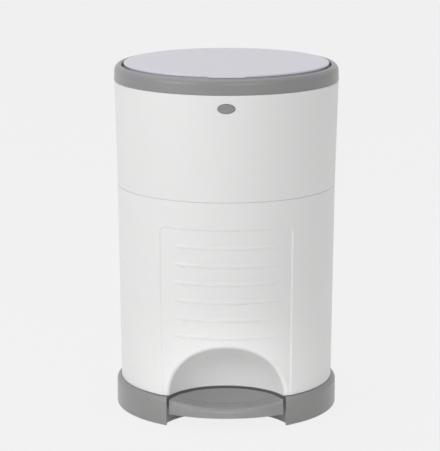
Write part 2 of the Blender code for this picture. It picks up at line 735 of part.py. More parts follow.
def panel_section(azimuth, top):
    """A cut through the panel's recess at an azimuth: its floor follows the wall and its edges lean."""
    width = math.radians(PANEL_HALF_ANGLE) * lower_radius(PANEL_TOP)
    spread = PANEL_DRAFT * OVERRUN / PANEL_DEPTH
    at_floor = azimuth * (1.0 - PANEL_DRAFT / width)
    outside = azimuth * (1.0 + spread / width)
    floor_top = top - PANEL_DRAFT
    return [
        polar(lower_radius(0.0) - PANEL_DEPTH, at_floor, 0.0),
        polar(lower_radius(0.0) + OVERRUN, outside, 0.0),
        polar(lower_radius(top) + OVERRUN, outside, top + spread),
        polar(lower_radius(floor_top) - PANEL_DEPTH, at_floor, floor_top),
    ]


def panel_cutter():
    """The recessed panel: a band of the wall with round upper corners."""
    corner = math.degrees(PANEL_CORNER / lower_radius(PANEL_TOP))
    right = []
    for i in range(CORNER_STEPS + 1):
        angle = math.radians(90.0 * i / CORNER_STEPS)
        azimuth = PANEL_HALF_ANGLE - corner * (1.0 - math.cos(angle))
        right.append((azimuth, PANEL_TOP - PANEL_CORNER * (1.0 - math.sin(angle))))
    left = [(-azimuth, top) for azimuth, top in reversed(right)]
    flat = PANEL_HALF_ANGLE - corner
    middle = [(flat - 2.0 * flat * i / PANEL_STEPS, PANEL_TOP) for i in range(1, PANEL_STEPS)]
    return lofted([panel_section(azimuth, top) for azimuth, top in (*right, *middle, *left)])


def rib_section(azimuth, height, rise, half_height):
    """A soft bead standing out of the panel: a flat back inside the wall and a round face."""
    floor = lower_radius(height) - PANEL_DEPTH
    rows = []
    for i in range(RIB_ROUND_STEPS + 1):
        angle = math.pi * (1 - i / RIB_ROUND_STEPS)
        out = rise * math.sin(angle)
        up = half_height * math.cos(angle)
        rows.append(polar(floor + out - SEAT_GAP, azimuth, height + up))
    back = floor - PANEL_DEPTH / 2
    rows.append(polar(back, azimuth, height + half_height))
    rows.append(polar(back, azimuth, height - half_height))
    return rows


def make_rib(height):
    """One bead, fading out at both ends."""
    sections = []
    for i in range(RIB_STATIONS + 1):
        share = math.sin(math.pi * (i / RIB_STATIONS - 1 / 2))
        fade = math.sqrt(max(0.0, 1.0 - share**RIB_END_POWER))
        rise = RIB_RISE * max(fade, SEAT_GAP / RIB_RISE)
        half_height = RIB_HEIGHT / 2 * max(fade, PANEL_DEPTH / RIB_HEIGHT)
        sections.append(rib_section(RIB_HALF_ANGLE * share, height, rise, half_height))
    return lofted(sections)


def ellipsoid(centre, radius, height):
    """A dome's whole ellipsoid, round in plan."""
    mesh = bmesh.new()
    bmesh.ops.create_uvsphere(mesh, u_segments=DOME_STEPS, v_segments=DOME_ROWS, radius=1.0)
    bmesh.ops.scale(mesh, verts=mesh.verts, vec=(radius, radius, height))
    bmesh.ops.translate(mesh, verts=mesh.verts, vec=centre)
    return mesh


def make_door(surface, axis):
    """The emptying door with its recessed, beaded panel and the toe scoop."""
    wall = turned(lower_wall_profile(DOOR_FOOT, LOWER_TOP), DOOR_STEPS, -DOOR_HALF_ANGLE, 2 * DOOR_HALF_ANGLE)
    door = add_object("front_door", wall, surface, axis)
    low, high = door_hinge_point(DOOR_FOOT), door_hinge_point(LOWER_TOP)
    join(door, "hinge barrel", rod(low, high, DOOR_HINGE_DEPTH, ROD_STEPS))
    pin_low = door_hinge_point(DOOR_FOOT - DOOR_PIN_LENGTH)
    pin_high = door_hinge_point(UPPER_FOOT + DOOR_PIN_LENGTH)
    join(door, "hinge pins", rod(pin_low, pin_high, DOOR_PIN_RADIUS))
    centre = (0.0, TOE_CENTRE_Y, BASE_TOP)
    bulge = add_tool("scoop wall", ellipsoid(centre, SCOOP_RADIUS + WALL, SCOOP_HEIGHT + WALL))
    bound = [
        (0.0, DOOR_FOOT),
        (lower_radius(DOOR_FOOT) - WALL / 2, DOOR_FOOT),
        (lower_radius(LOWER_TOP) - WALL / 2, LOWER_TOP),
        (0.0, LOWER_TOP),
    ]
    keep_inside(bulge, "scoop bound", turned(bound))
    combine(door, bulge, "UNION")
    cut(door, "panel", panel_cutter())
    for i in range(RIB_COUNT):
        join(door, f"rib {i + 1}", make_rib(RIB_LOWEST + i * RIB_PITCH))
    cut(door, "scoop", ellipsoid(centre, SCOOP_RADIUS, SCOOP_HEIGHT))
    return door


def make_door_catch(surface, axis):
    """A springy tongue inside the door's free edge that snaps behind the rear shell."""
    low, high = CATCH_Z - CATCH_HEIGHT / 2, CATCH_Z + CATCH_HEIGHT / 2
    radius = lower_radius(low) - WALL - SEAT_GAP
    span = math.degrees(CATCH_WIDTH / radius)
    reach = math.degrees(CATCH_REACH / radius)
    tongue = band(radius, radius - CATCH_THICKNESS, low, high)
    mesh = turned(tongue, CATCH_STEPS, DOOR_HALF_ANGLE - span, span + reach)
    return add_object("door_catch", mesh, surface, axis)


def make_cutter(surface, steel, axis):
    """The liner cutter inside the door's top: a holder with a slit mouth and a sunk blade."""
    half = CUTTER_HEIGHT / 2
    reach = CUTTER_HALF_WIDTH / BODY_FOOT_RADIUS
    front = WALL + SEAT_GAP - lower_radius(CUTTER_Z - half) * math.cos(reach)
    low = (-CUTTER_HALF_WIDTH, front, CUTTER_Z - half)
    high = (CUTTER_HALF_WIDTH, front + CUTTER_DEPTH, CUTTER_Z + half)
    holder = add_object("cutter_holder", block(low, high), surface, axis)
    mouth_start = front + CUTTER_DEPTH / 3
    mouth_low = (-BLADE_HALF_WIDTH - SEAT_GAP, mouth_start, CUTTER_Z - CUTTER_MOUTH / 2)
    mouth_high = (CUTTER_HALF_WIDTH + OVERRUN, front + 2 * CUTTER_DEPTH, CUTTER_Z + CUTTER_MOUTH / 2)
    cut(holder, "cutter mouth", block(mouth_low, mouth_high))
    blade_low = (-BLADE_HALF_WIDTH, mouth_start + SEAT_GAP, CUTTER_Z - BLADE_THICKNESS / 2)
    blade_high = (BLADE_HALF_WIDTH, mouth_start + CUTTER_DEPTH / 3, CUTTER_Z + BLADE_THICKNESS / 2)
    add_object("cutter_blade", block(blade_low, blade_high), steel, axis)
    return holder


def make_upper_shell(surface):
    """The upper tub with its bottom flange, shelf rib, button hole and rear hinge knuckles."""
    flange = SEAM_RADIUS - FLANGE_DEPTH
    rib_top = SHELF_Z - SHELF_THICKNESS - SEAT_GAP
    rib_foot = rib_top - SHELF_RIB_HEIGHT
    profile = [
        (flange, UPPER_FOOT),
        (upper_radius(UPPER_FOOT), UPPER_FOOT),
        (RIM_RADIUS, RIM_HEIGHT),
        (RIM_RADIUS - WALL, RIM_HEIGHT),
        (upper_radius(rib_top) - WALL, rib_top),
        (upper_radius(rib_top) - WALL - SHELF_RIB_DEPTH, rib_top),
        (upper_radius(rib_foot) - WALL, rib_foot),
        (upper_radius(UPPER_FOOT + FLANGE_THICKNESS) - WALL, UPPER_FOOT + FLANGE_THICKNESS),
        (flange, UPPER_FOOT + FLANGE_THICKNESS),
    ]
    shell = add_object("upper_shell", turned(profile), surface)
    y, z, radius = RING_HINGE_Y, RING_HINGE_Z, RING_HINGE_RADIUS
    for side in (-1, 1):
        near, far = sorted((side * TUB_KNUCKLE_INNER, side * TUB_KNUCKLE_OUTER))
        join(shell, f"knuckle {side}", bar_x(near, far, y, z, radius, ROD_STEPS))
        web = []
        for x in (near, far):
            wall_y = math.sqrt(RIM_RADIUS**2 - x**2) - WALL / 2
            corners = (
                (wall_y, RIM_HEIGHT - TUB_KNUCKLE_WEB),
                (y + radius, z - radius),
                (y + radius, z),
                (y, z),
                (wall_y, RIM_HEIGHT - radius),
            )
            web.append([Vector((x, corner_y, corner_z)) for corner_y, corner_z in corners])
        join(shell, f"knuckle web {side}", lofted(web))
    relief = RING_KNUCKLE_HALF_WIDTH + RUNNING_GAP
    cut(shell, "knuckle relief", bar_x(-relief, relief, y, z, radius + RUNNING_GAP, ROD_STEPS))
    pin_end = TUB_KNUCKLE_OUTER + OVERRUN
    cut(shell, "ring pin hole", bar_x(-pin_end, pin_end, y, z, RING_PIN_RADIUS + SEAT_GAP))
    pin_low = door_hinge_point(SEAM_HEIGHT - OVERRUN)
    pin_high = door_hinge_point(UPPER_FOOT + 2 * DOOR_PIN_LENGTH)
    cut(shell, "door pin hole above", rod(pin_low, pin_high, DOOR_PIN_RADIUS + RUNNING_GAP))
    wide, tall = BUTTON_HALF_WIDTH + RUNNING_GAP, BUTTON_HALF_HEIGHT + RUNNING_GAP
    cut(shell, "button hole", oval(wide, tall, -RIM_RADIUS - OVERRUN, -RIM_RADIUS + OVERRUN))
    return shell


def oval_section(half_width, half_height, y):
    """An upright oval at the button's place."""
    points = []
    for i in range(BUTTON_STEPS):
        angle = math.tau * i / BUTTON_STEPS
        points.append(Vector((half_width * math.cos(angle), y, BUTTON_Z + half_height * math.sin(angle))))
    return points


def oval(half_width, half_height, near, far):
    """An oval bar along Y at the button's place."""
    return lofted([oval_section(half_width, half_height, near), oval_section(half_width, half_height, far)])


def make_shelf(surface):
    """The ring shelf that carries the refill cassette, with a collar round it and the rod's guide hole."""
    top = SHELF_Z
    foot = top - SHELF_THICKNESS
    outer = upper_radius(foot) - WALL - SEAT_GAP
    collar_in = CASSETTE_RADIUS + SEAT_GAP + RUNNING_GAP
    collar_out = collar_in + SHELF_COLLAR_WALL
    profile = [
        (SHELF_BORE, foot),
        (outer, foot),
        (outer, top),
        (collar_out, top),
        (collar_out, top + SHELF_COLLAR_HEIGHT),
        (collar_in, top + SHELF_COLLAR_HEIGHT),
        (collar_in, top),
        (SHELF_BORE, top),
    ]
    shelf = add_object("cassette_shelf", turned(profile, INNER_STEPS), surface)
    cut(shelf, "shelf rod hole", upright(0.0, ROD_Y, foot - OVERRUN, top + 2 * OVERRUN, ROD_GUIDE_RADIUS))
    return shelf


def make_cassette(surface):
    """The refill cassette's round trough, open at the top."""
    low = SHELF_Z + SEAT_GAP
    high = low + CASSETTE_HEIGHT
    outer, inner, wall = CASSETTE_RADIUS, CASSETTE_BORE, CASSETTE_WALL
    profile = [
        (inner, low),
        (outer, low),
        (outer, high),
        (outer - CASSETTE_LIP, high),
        (outer - CASSETTE_LIP, high - wall),
        (outer - wall, high - wall),
        (outer - wall, low + wall),
        (inner + wall, low + wall),
        (inner + wall, high - CASSETTE_LIP),
        (inner, high - CASSETTE_LIP),
    ]
    return add_object("refill_cassette", turned(profile, INNER_STEPS), surface)


def hinge_relief():
    """A step out of the lid ring's mouth at the back, where the lid's rear edge swings."""
    outer = RING_MOUTH + HINGE_RELIEF_DEPTH
    corners = band(outer, RING_MOUTH - WALL, LEDGE_TOP + SEAT_GAP, RING_TOP + OVERRUN)
    half = HINGE_RELIEF_HALF_ANGLE
    return turned(corners, HINGE_RELIEF_STEPS, FULL_TURN / 2 - half, 2 * half)


def make_top_ring(surface, axis):
    """The grey ring that frames the lid, with its ledge, spigot, hinge parts and strike tab."""
    spigot_out = RIM_RADIUS - WALL - SPIGOT_CLEARANCE
    spigot_in = spigot_out - WALL
    crown = (RING_RADIUS - RING_BEAD - RING_ROUND, RING_TOP - RING_ROUND)
    profile = [
        (RING_RADIUS - RING_BEAD, RING_FOOT),
        (RING_RADIUS, RING_FOOT + RING_BEAD),
        (RING_RADIUS, RING_FOOT + RING_BEAD_HEIGHT),
        (RING_RADIUS - RING_BEAD / 2, RING_FOOT + RING_BEAD_HEIGHT + RING_BEAD),
        *arc(crown, RING_ROUND, 0.0, 90.0, ROUND_STEPS),
        (RING_MOUTH + RING_LIP_ROUND, RING_TOP),
        (RING_MOUTH, RING_TOP - RING_LIP_ROUND),
        (RING_MOUTH, LEDGE_TOP),
        (LEDGE_BORE, LEDGE_TOP),
        (LEDGE_BORE, LEDGE_TOP - WALL),
        (spigot_in, LEDGE_TOP - WALL),
        (spigot_in, SPIGOT_FOOT),
        (spigot_out, SPIGOT_FOOT),
        (spigot_out, RING_FOOT),
    ]
    ring = add_object("top_ring", turned(profile), surface, axis)
    cut(ring, "hinge relief", hinge_relief())
    pocket = HINGE_POCKET_HALF_WIDTH
    y, z = LID_HINGE_Y, LID_HINGE_Z
    pocket_low = (-pocket, y - 2 * LID_KNUCKLE_RADIUS, LEDGE_TOP - 2 * WALL)
    pocket_high = (pocket, RING_MOUTH, LEDGE_TOP + SEAT_GAP)
    cut(ring, "hinge pocket", block(pocket_low, pocket_high))
    for side in (-1, 1):
        near, far = sorted((side * LUG_START, side * LUG_END))
        low = (near, y - HINGE_LUG_RADIUS, LEDGE_TOP - WALL / 2)
        high = (far, y + HINGE_LUG_RADIUS, z)
        join(ring, f"lid lug {side}", block(low, high))
        join(ring, f"lid lug top {side}", bar_x(near, far, y, z, HINGE_LUG_RADIUS, ROD_STEPS))
    reach = LUG_END + HINGE_LUG_WIDTH
    cut(ring, "lid pin hole", bar_x(-reach, reach, y, z, LID_PIN_RADIUS + SEAT_GAP))
    half = RING_KNUCKLE_HALF_WIDTH
    y, z = RING_HINGE_Y, RING_HINGE_Z
    join(ring, "ring knuckle", bar_x(-half, half, y, z, RING_HINGE_RADIUS, ROD_STEPS))
    web_low = (-half, RING_RADIUS * math.cos(half / RING_RADIUS) - WALL, z)
    web_high = (half, y + SEAT_GAP, z + RING_HINGE_RADIUS)
    join(ring, "ring knuckle web", block(web_low, web_high))
    reach = half + OVERRUN
    cut(ring, "ring pin bore", bar_x(-reach, reach, y, z, RING_PIN_RADIUS + RUNNING_GAP))
    join_strike(ring, spigot_in)
    return ring


def join_strike(ring, spigot_in):
    """The strike tab under the ring's front, with the lip that the latch holds."""
    half = STRIKE_HALF_WIDTH
    inset = half - SEAT_GAP
    web_top = SPIGOT_FOOT + STRIKE_WEB_HEIGHT
    tab_low = (-half, STRIKE_Y - STRIKE_THICKNESS, STRIKE_FOOT)
    join(ring, "strike tab", block(tab_low, (half, STRIKE_Y, web_top)))
    web_low = (-inset, -spigot_in - WALL / 2, SPIGOT_FOOT + SEAT_GAP)
    join(ring, "strike web", block(web_low, (inset, STRIKE_Y - SEAT_GAP, web_top - SEAT_GAP)))
    lip_low = (-inset, STRIKE_Y - STRIKE_THICKNESS / 2, STRIKE_FOOT + SEAT_GAP)
    join(ring, "strike lip", block(lip_low, (inset, STRIKE_Y + STRIKE_LIP, STRIKE_FOOT + STRIKE_LIP_HEIGHT)))


def cam_profile():
    """Under side of the lid's cam, in (y, z) from the lid's hinge at rest.

    The rod stands off the hinge by its travel for each radian of the lid's turn, so its domed top always
    touches at its highest point, and the cam is an involute of the circle of that radius.
    """
    travel = rod_travel()
    ahead = ROD_Y - LID_HINGE_Y
    start = ROD_TOP + CAM_CLEARANCE - LID_HINGE_Z
    points = []
    for i in range(CAM_STEPS + 1):
        turn = LID_OPENING * i / CAM_STEPS
        rise = start + travel * i / CAM_STEPS
        along = ahead * math.cos(turn) - rise * math.sin(turn)
        up = ahead * math.sin(turn) + rise * math.cos(turn)
        points.append((along, up))
    return points


def rod_travel():
    """How far the lever's tail lifts the rod over the pedal's stroke."""
    return (ROD_Y - AXLE_Y) * math.sin(PEDAL_STROKE)


def make_lid(surface, axis):
    """The lid: a slightly crowned disc with a short skirt, two hinge knuckles and the cam for the rod."""
    edge = LID_EDGE_ROUND
    under = LID_EDGE_TOP + edge / 2 - LID_THICKNESS
    inner = LID_RADIUS - LID_SKIRT
    profile = [
        (0.0, LID_CROWN),
        (LID_RADIUS * LID_CROWN_SHARE, LID_CROWN - edge / 4),
        (LID_RADIUS - 2 * edge, LID_EDGE_TOP + edge / 2),
        (LID_RADIUS - edge / 2, LID_EDGE_TOP),
        (LID_RADIUS, LID_EDGE_TOP - edge / 2),
        (LID_RADIUS, LID_EDGE_FOOT),
        (inner, LID_EDGE_FOOT),
        (inner, under),
        (0.0, LID_CROWN - LID_THICKNESS),
    ]
    lid = add_object("lid", turned(profile), surface, axis)
    y, z = LID_HINGE_Y, LID_HINGE_Z
    half = LID_KNUCKLE_WIDTH / 2
    for side in (-1, 1):
        near, far = side * LID_KNUCKLE_X - half, side * LID_KNUCKLE_X + half
        join(lid, f"lid knuckle {side}", bar_x(near, far, y, z, LID_KNUCKLE_RADIUS, ROD_STEPS))
    join(lid, "cam", make_cam())
    for side in (-1, 1):
        near, far = sorted((side * (LID_KNUCKLE_X - LID_KNUCKLE_WIDTH), side * (LUG_END + RUNNING_GAP)))
        cut(lid, f"knuckle bore {side}", bar_x(near, far, y, z, LID_PIN_RADIUS + RUNNING_GAP))
        near, far = sorted((side * (LUG_START - RUNNING_GAP), side * (LUG_END + RUNNING_GAP)))
        cut(lid, f"lug relief {side}", bar_x(near, far, y, z, HINGE_LUG_RADIUS + RUNNING_GAP, ROD_STEPS))
    return lid


def make_cam():
    """The web under the lid that carries the cam's edge."""
    root = LID_CROWN - LID_THICKNESS + LID_EDGE_ROUND / 2 - LID_HINGE_Z
    under_side = cam_profile()
    first_y, first_z = under_side[0]
    last_y, last_z = under_side[-1]
    outline = [
        (first_y + ROD_RADIUS, root),
        (first_y + ROD_RADIUS, first_z),
        *under_side,
        (last_y - ROD_RADIUS, last_z),
        (last_y - 2 * ROD_RADIUS, root),
    ]
    sections = []
    for x in (-CAM_WIDTH / 2, CAM_WIDTH / 2):
        sections.append([Vector((x, LID_HINGE_Y + y, LID_HINGE_Z + z)) for y, z in outline])
    return lofted(sections)


def make_lid_seal(surface, axis):
    """A rubber seal inside the lid's skirt, left out at the hinge."""
    low = LEDGE_TOP + SEAT_GAP
    high = low + SEAL_HEIGHT
    outer = SEAL_RADIUS
    inner = outer - SEAL_WIDTH
    round_off = SEAL_WIDTH / 3
    profile = [
        (inner, low + round_off),
        (inner + round_off, low),
        (outer - round_off, low),
        (outer, low + round_off),
        (outer, high),
        (inner, high),
    ]
    away = math.degrees(math.asin((LUG_END + SEAL_WIDTH) / inner))
    mesh = turned(profile, INNER_STEPS, away - 180.0, FULL_TURN - 2 * away)
    return add_object("lid_seal", mesh, surface, axis)


def make_funnel(surface, axis):
    """The dished funnel under the lid, with a square throat and a collar that guides the liner."""
    top, wall = FUNNEL_FLANGE_TOP, FUNNEL_WALL
    profile = [
        (FUNNEL_RADIUS, top),
        (FUNNEL_SLOPE_TOP_RADIUS, top),
        (FUNNEL_SLOPE_FOOT_RADIUS, FUNNEL_FOOT_TOP),
        (0.0, FUNNEL_FOOT_TOP),
        (0.0, FUNNEL_FOOT_TOP - wall),
        (FUNNEL_SLOPE_FOOT_RADIUS, FUNNEL_FOOT_TOP - wall),
        (FUNNEL_SLOPE_TOP_RADIUS, top - wall),
        (FUNNEL_RADIUS, top - wall),
    ]
    funnel = add_object("funnel", turned(profile, INNER_STEPS), surface, axis)
    thick = THROAT_WALL
    outside = rounded_box(THROAT_HALF_X + thick, THROAT_HALF_Y + thick, THROAT_CORNER + thick)
    join(funnel, "throat collar", extruded(outside, THROAT_FOOT, FUNNEL_FOOT_TOP - wall / 2))
    inside = rounded_box(THROAT_HALF_X, THROAT_HALF_Y, THROAT_CORNER)
    cut(funnel, "throat", extruded(inside, THROAT_FOOT - OVERRUN, top + OVERRUN))
    slot_low = (-FUNNEL_SLOT_HALF_WIDTH, ROD_Y - FUNNEL_SLOT_HALF_LENGTH, FUNNEL_FOOT_TOP)
    slot_high = (FUNNEL_SLOT_HALF_WIDTH, ROD_Y + FUNNEL_SLOT_HALF_LENGTH, top + OVERRUN)
    cut(funnel, "rod slot", block(slot_low, slot_high))
    end = THROAT_HALF_Y + THROAT_WALL + OVERRUN
    for side in (-1, 1):
        hole = bar_y(-end, end, side * FLAP_HINGE_X, FLAP_HINGE_Z, FLAP_PIN_RADIUS + SEAT_GAP)
        cut(funnel, f"flap pin hole {side}", hole)
    return funnel


def rounded_box(half_x, half_y, corner):
    """A rectangle with round corners, as (x, y) points."""
    points = []
    for sign_x, sign_y, start in ((1, 1, 0.0), (-1, 1, 90.0), (-1, -1, 180.0), (1, -1, 270.0)):
        centre = (sign_x * (half_x - corner), sign_y * (half_y - corner))
        points += arc(centre, corner, start, start + 90.0, ROUND_STEPS)
    return points


def make_flap(name, side, surface, axis):
    """One of the trap's two flaps: a barrel with a plate that reaches the middle."""
    half = THROAT_HALF_Y - FLAP_SIDE_GAP
    x, z = side * FLAP_HINGE_X, FLAP_HINGE_Z
    flap = add_object(name, bar_y(-half, half, x, z, FLAP_BARREL_RADIUS, ROD_STEPS), surface, axis)
    near, far = sorted((side * FLAP_MEETING_GAP, x))
    low = (near, -half + SEAT_GAP, z - FLAP_THICKNESS / 2)
    high = (far, half - SEAT_GAP, z + FLAP_THICKNESS / 2)
    join(flap, f"{name} plate", block(low, high))
    end = half + OVERRUN
    cut(flap, f"{name} bore", bar_y(-end, end, x, z, FLAP_PIN_RADIUS + SEAT_GAP))
    return flap


def make_flap_pin(name, side, surface, axis):
    """The steel pin of one flap, held in the funnel's collar."""
    end = THROAT_HALF_Y + THROAT_WALL - SEAT_GAP
    pin = bar_y(-end, end, side * FLAP_HINGE_X, FLAP_HINGE_Z, FLAP_PIN_RADIUS)
    return add_object(name, pin, surface, axis)


def make_hinge_pin(name, half_length, y, z, radius, surface, axis=None):
    """A hinge pin along X."""
    return add_object(name, bar_x(-half_length, half_length, y, z, radius), surface, axis)


def make_button(surface, axis):
    """The oval release button: a dished cap with a flange that stops behind the wall."""
    wall_front = -upper_radius(BUTTON_Z)
    front = wall_front - BUTTON_PROUD
    cap = oval(BUTTON_HALF_WIDTH, BUTTON_HALF_HEIGHT, front, front + BUTTON_DEPTH)
    button = add_object("release_button", cap, surface, axis)
    flange_front = wall_front + WALL + 2 * RUNNING_GAP
    wide, tall = BUTTON_HALF_WIDTH + BUTTON_FLANGE_WIDER, BUTTON_HALF_HEIGHT + BUTTON_FLANGE_WIDER
    join(button, "button flange", oval(wide, tall, flange_front, flange_front + BUTTON_FLANGE_DEPTH))
    wide, tall = BUTTON_HALF_WIDTH - BUTTON_RIM, BUTTON_HALF_HEIGHT - BUTTON_RIM
    sections = []
    for depth, grow in ((-BUTTON_DISH, BUTTON_DISH_FLARE), (BUTTON_DISH, -BUTTON_DISH_FLARE)):
        sections.append(oval_section(wide + grow, tall + grow, front + depth))
    cut(button, "button dish", lofted(sections))
    return button


def make_latch(surface, axis):
    """The latch behind the button: a stem that passes under the strike tab, a plate and a hook."""
    button_back = -upper_radius(BUTTON_Z) - BUTTON_PROUD + BUTTON_DEPTH
    stem_foot = BUTTON_Z - BUTTON_HALF_HEIGHT - LATCH_STEM_THICKNESS / 2
    half = LATCH_STEM_HALF_WIDTH
    low = (-half, button_back + SEAT_GAP, stem_foot)
    high = (half, LATCH_PLATE_Y, stem_foot + LATCH_STEM_THICKNESS)
    latch = add_object("latch_slide", block(low, high), surface, axis)
    plate_front = LATCH_PLATE_Y - LATCH_PLATE_THICKNESS
    plate_low = (-half - SEAT_GAP, plate_front, stem_foot - SEAT_GAP)
    plate_high = (half + SEAT_GAP, LATCH_PLATE_Y + SEAT_GAP, stem_foot + LATCH_PLATE_HEIGHT)
    join(latch, "latch plate", block(plate_low, plate_high))
    hook_foot = STRIKE_FOOT + STRIKE_LIP_HEIGHT + RUNNING_GAP
    hook_low = (-half, plate_front - LATCH_HOOK_LENGTH, hook_foot)
    hook_high = (half, plate_front + LATCH_PLATE_THICKNESS / 2, hook_foot + LATCH_HOOK_HEIGHT)
    join(latch, "latch hook", block(hook_low, hook_high))
    return latch


def make_latch_housing(surface):
    """A bracket behind the button that holds the latch spring."""
    inner = HOUSING_INNER_HALF_WIDTH
    outer = inner + HOUSING_WALL
    back = HOUSING_BACK_Y
    low, high = BUTTON_Z - HOUSING_HALF_HEIGHT, BUTTON_Z + HOUSING_HALF_HEIGHT
    wall_y = -math.sqrt((upper_radius(low) - WALL - SEAT_GAP) ** 2 - outer**2)
    outline = (
        (-outer, wall_y),
        (-inner, wall_y),
        (-inner, back - HOUSING_WALL),
        (inner, back - HOUSING_WALL),
        (inner, wall_y),
        (outer, wall_y),
        (outer, back),
        (-outer, back),
    )
    return add_object("latch_housing", extruded(outline, low, high), surface)


def coil(radius, length, turns):
    """A coil of wire along Z from the origin, with squared-off ends."""
    steps = turns * SPRING_TURN_STEPS
    up = Vector((0.0, 0.0, 1.0))
    sections = []
    for i in range(steps + 1):
        angle = math.tau * i / SPRING_TURN_STEPS
        centre = Vector((radius * math.cos(angle), radius * math.sin(angle), length * i / steps))
        out = Vector((math.cos(angle), math.sin(angle), 0.0))
        section = []
        for j in range(WIRE_SIDES):
            around = math.tau * j / WIRE_SIDES
            section.append(centre + SPRING_WIRE * (math.cos(around) * out + math.sin(around) * up))
        sections.append(section)
    return lofted(sections)


def make_button_spring(surface):
    """The coil between the latch plate and its bracket."""
    start = LATCH_PLATE_Y + 2 * SEAT_GAP + SPRING_WIRE
    end = HOUSING_BACK_Y - HOUSING_WALL - SEAT_GAP - SPRING_WIRE
    mesh = coil(BUTTON_SPRING_RADIUS, end - start, BUTTON_SPRING_TURNS)
    place = Matrix.Translation((0.0, start, BUTTON_Z)) @ Matrix.Rotation(math.radians(-90.0), 4, "X")
    bmesh.ops.transform(mesh, matrix=place, verts=mesh.verts)
    return add_object("button_spring", mesh, surface)


def clear_scene():
    for item in list(bpy.data.objects):
        bpy.data.objects.remove(item, do_unlink=True)


def main():
    clear_scene()
    white = material("white plastic", WHITE, 0.35)
    lid_white = material("lid plastic", LID_WHITE, 0.30)
    inner_white = material("inner plastic", INNER_WHITE, 0.45)
    grey = material("grey plastic", GREY, 0.45)
    rubber = material("rubber", RUBBER_GREY, 0.85)
    steel = material("steel", STEEL, 0.30, 1.0)

    make_base(grey)
    make_feet(rubber)
    make_axle(steel)
    pedal_axis = add_axis("pedal axis", (0.0, AXLE_Y, AXLE_Z))
    make_pedal(grey, pedal_axis)
    make_lever(steel, pedal_axis)
    make_push_rod(steel, add_axis("rod axis", (0.0, ROD_Y, ROD_TOP)))
    make_rod_cover(inner_white)
    make_rear_shell(white)

    door_axis = add_axis("door axis", door_hinge_point(DOOR_FOOT))
    make_door(white, door_axis)
    make_door_catch(inner_white, door_axis)
    make_cutter(grey, steel, door_axis)

    make_upper_shell(white)
    make_shelf(inner_white)
    make_cassette(inner_white)
    make_latch_housing(inner_white)
    make_button_spring(steel)
    button_axis = add_axis("button axis", (0.0, -upper_radius(BUTTON_Z), BUTTON_Z))
    make_button(grey, button_axis)
    make_latch(inner_white, button_axis)

    ring_axis = add_axis("ring axis", (0.0, RING_HINGE_Y, RING_HINGE_Z))
    make_top_ring(grey, ring_axis)
    make_funnel(inner_white, ring_axis)
    make_hinge_pin("ring_hinge_pin", TUB_KNUCKLE_OUTER, RING_HINGE_Y, RING_HINGE_Z, RING_PIN_RADIUS, steel)
    make_hinge_pin("lid_hinge_pin", LUG_END, LID_HINGE_Y, LID_HINGE_Z, LID_PIN_RADIUS, steel, ring_axis)
    for word, side in (("left", -1), ("right", 1)):
        flap_axis = add_axis(f"{word} flap axis", (side * FLAP_HINGE_X, 0.0, FLAP_HINGE_Z))
        make_flap(f"trap_flap_{word}", side, grey, flap_axis)
        make_flap_pin(f"flap_pin_{word}", side, steel, ring_axis)

    lid_axis = add_axis("lid axis", (0.0, LID_HINGE_Y, LID_HINGE_Z))
    make_lid(lid_white, lid_axis)
    make_lid_seal(rubber, lid_axis)


if __name__ == "__main__":
    main()
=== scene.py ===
"""A round pedal nappy bin: smooth moulded shells, grey base, pedal and lid ring, set in a plain studio.

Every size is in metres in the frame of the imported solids: +Z up, the floor at z = 0, the front faces -Y.
"""

import math

import bmesh
import bpy
import numpy as np
from bpy.props import FloatProperty, FloatVectorProperty, IntProperty, PointerProperty
from bpy.types import Operator, Panel, PropertyGroup
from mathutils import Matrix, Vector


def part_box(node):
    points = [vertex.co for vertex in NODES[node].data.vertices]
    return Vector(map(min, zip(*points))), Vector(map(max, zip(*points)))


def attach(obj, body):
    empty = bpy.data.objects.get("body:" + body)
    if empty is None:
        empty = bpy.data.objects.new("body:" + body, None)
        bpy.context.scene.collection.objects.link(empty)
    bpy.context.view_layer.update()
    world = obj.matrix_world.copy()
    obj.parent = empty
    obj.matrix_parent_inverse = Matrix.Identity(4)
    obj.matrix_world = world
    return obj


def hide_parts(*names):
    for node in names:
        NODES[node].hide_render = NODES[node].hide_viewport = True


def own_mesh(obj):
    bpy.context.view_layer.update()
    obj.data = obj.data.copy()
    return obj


bl_info = {
    "name": "Nappy Bin",
    "version": (1, 0, 0),
    "blender": (4, 5, 0),
    "location": "View3D > Sidebar > Nappy Bin",
    "description": "Dresses the solids of a pedal nappy bin and sets them in a studio",
    "category": "Add Mesh",
}

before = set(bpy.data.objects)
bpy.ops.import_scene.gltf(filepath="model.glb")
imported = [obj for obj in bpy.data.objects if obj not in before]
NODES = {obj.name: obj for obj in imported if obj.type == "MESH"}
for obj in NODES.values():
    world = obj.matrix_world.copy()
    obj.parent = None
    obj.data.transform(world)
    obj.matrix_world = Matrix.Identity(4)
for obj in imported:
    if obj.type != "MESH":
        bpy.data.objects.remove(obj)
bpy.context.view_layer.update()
FULL_TURN = 360.0
WELD = 0.000002
# The hinge at the back that the lid ring tips on: its place from front to back, its height, and its radius.
RING_HINGE = (0.1516, 0.4455)
KNUCKLE_RADIUS = 0.0032


# ---------------------------------------------------------------- sizes and colours


def length(label, default, description, low=0.0):
    """A size in metres for a sidebar."""
    return FloatProperty(
        name=label, description=description, default=default, min=low, precision=5,
        subtype="DISTANCE", unit="LENGTH",
    )


def angle(label, degrees, description):
    """An angle for a sidebar, kept in radians and shown in degrees."""
    return FloatProperty(
        name=label, description=description, default=math.radians(degrees), precision=4,
        subtype="ANGLE", unit="ROTATION",
    )


def number(label, default, description, low=0.0, unit="NONE"):
    """A plain number for a sidebar."""
    return FloatProperty(name=label, description=description, default=default, min=low, unit=unit)


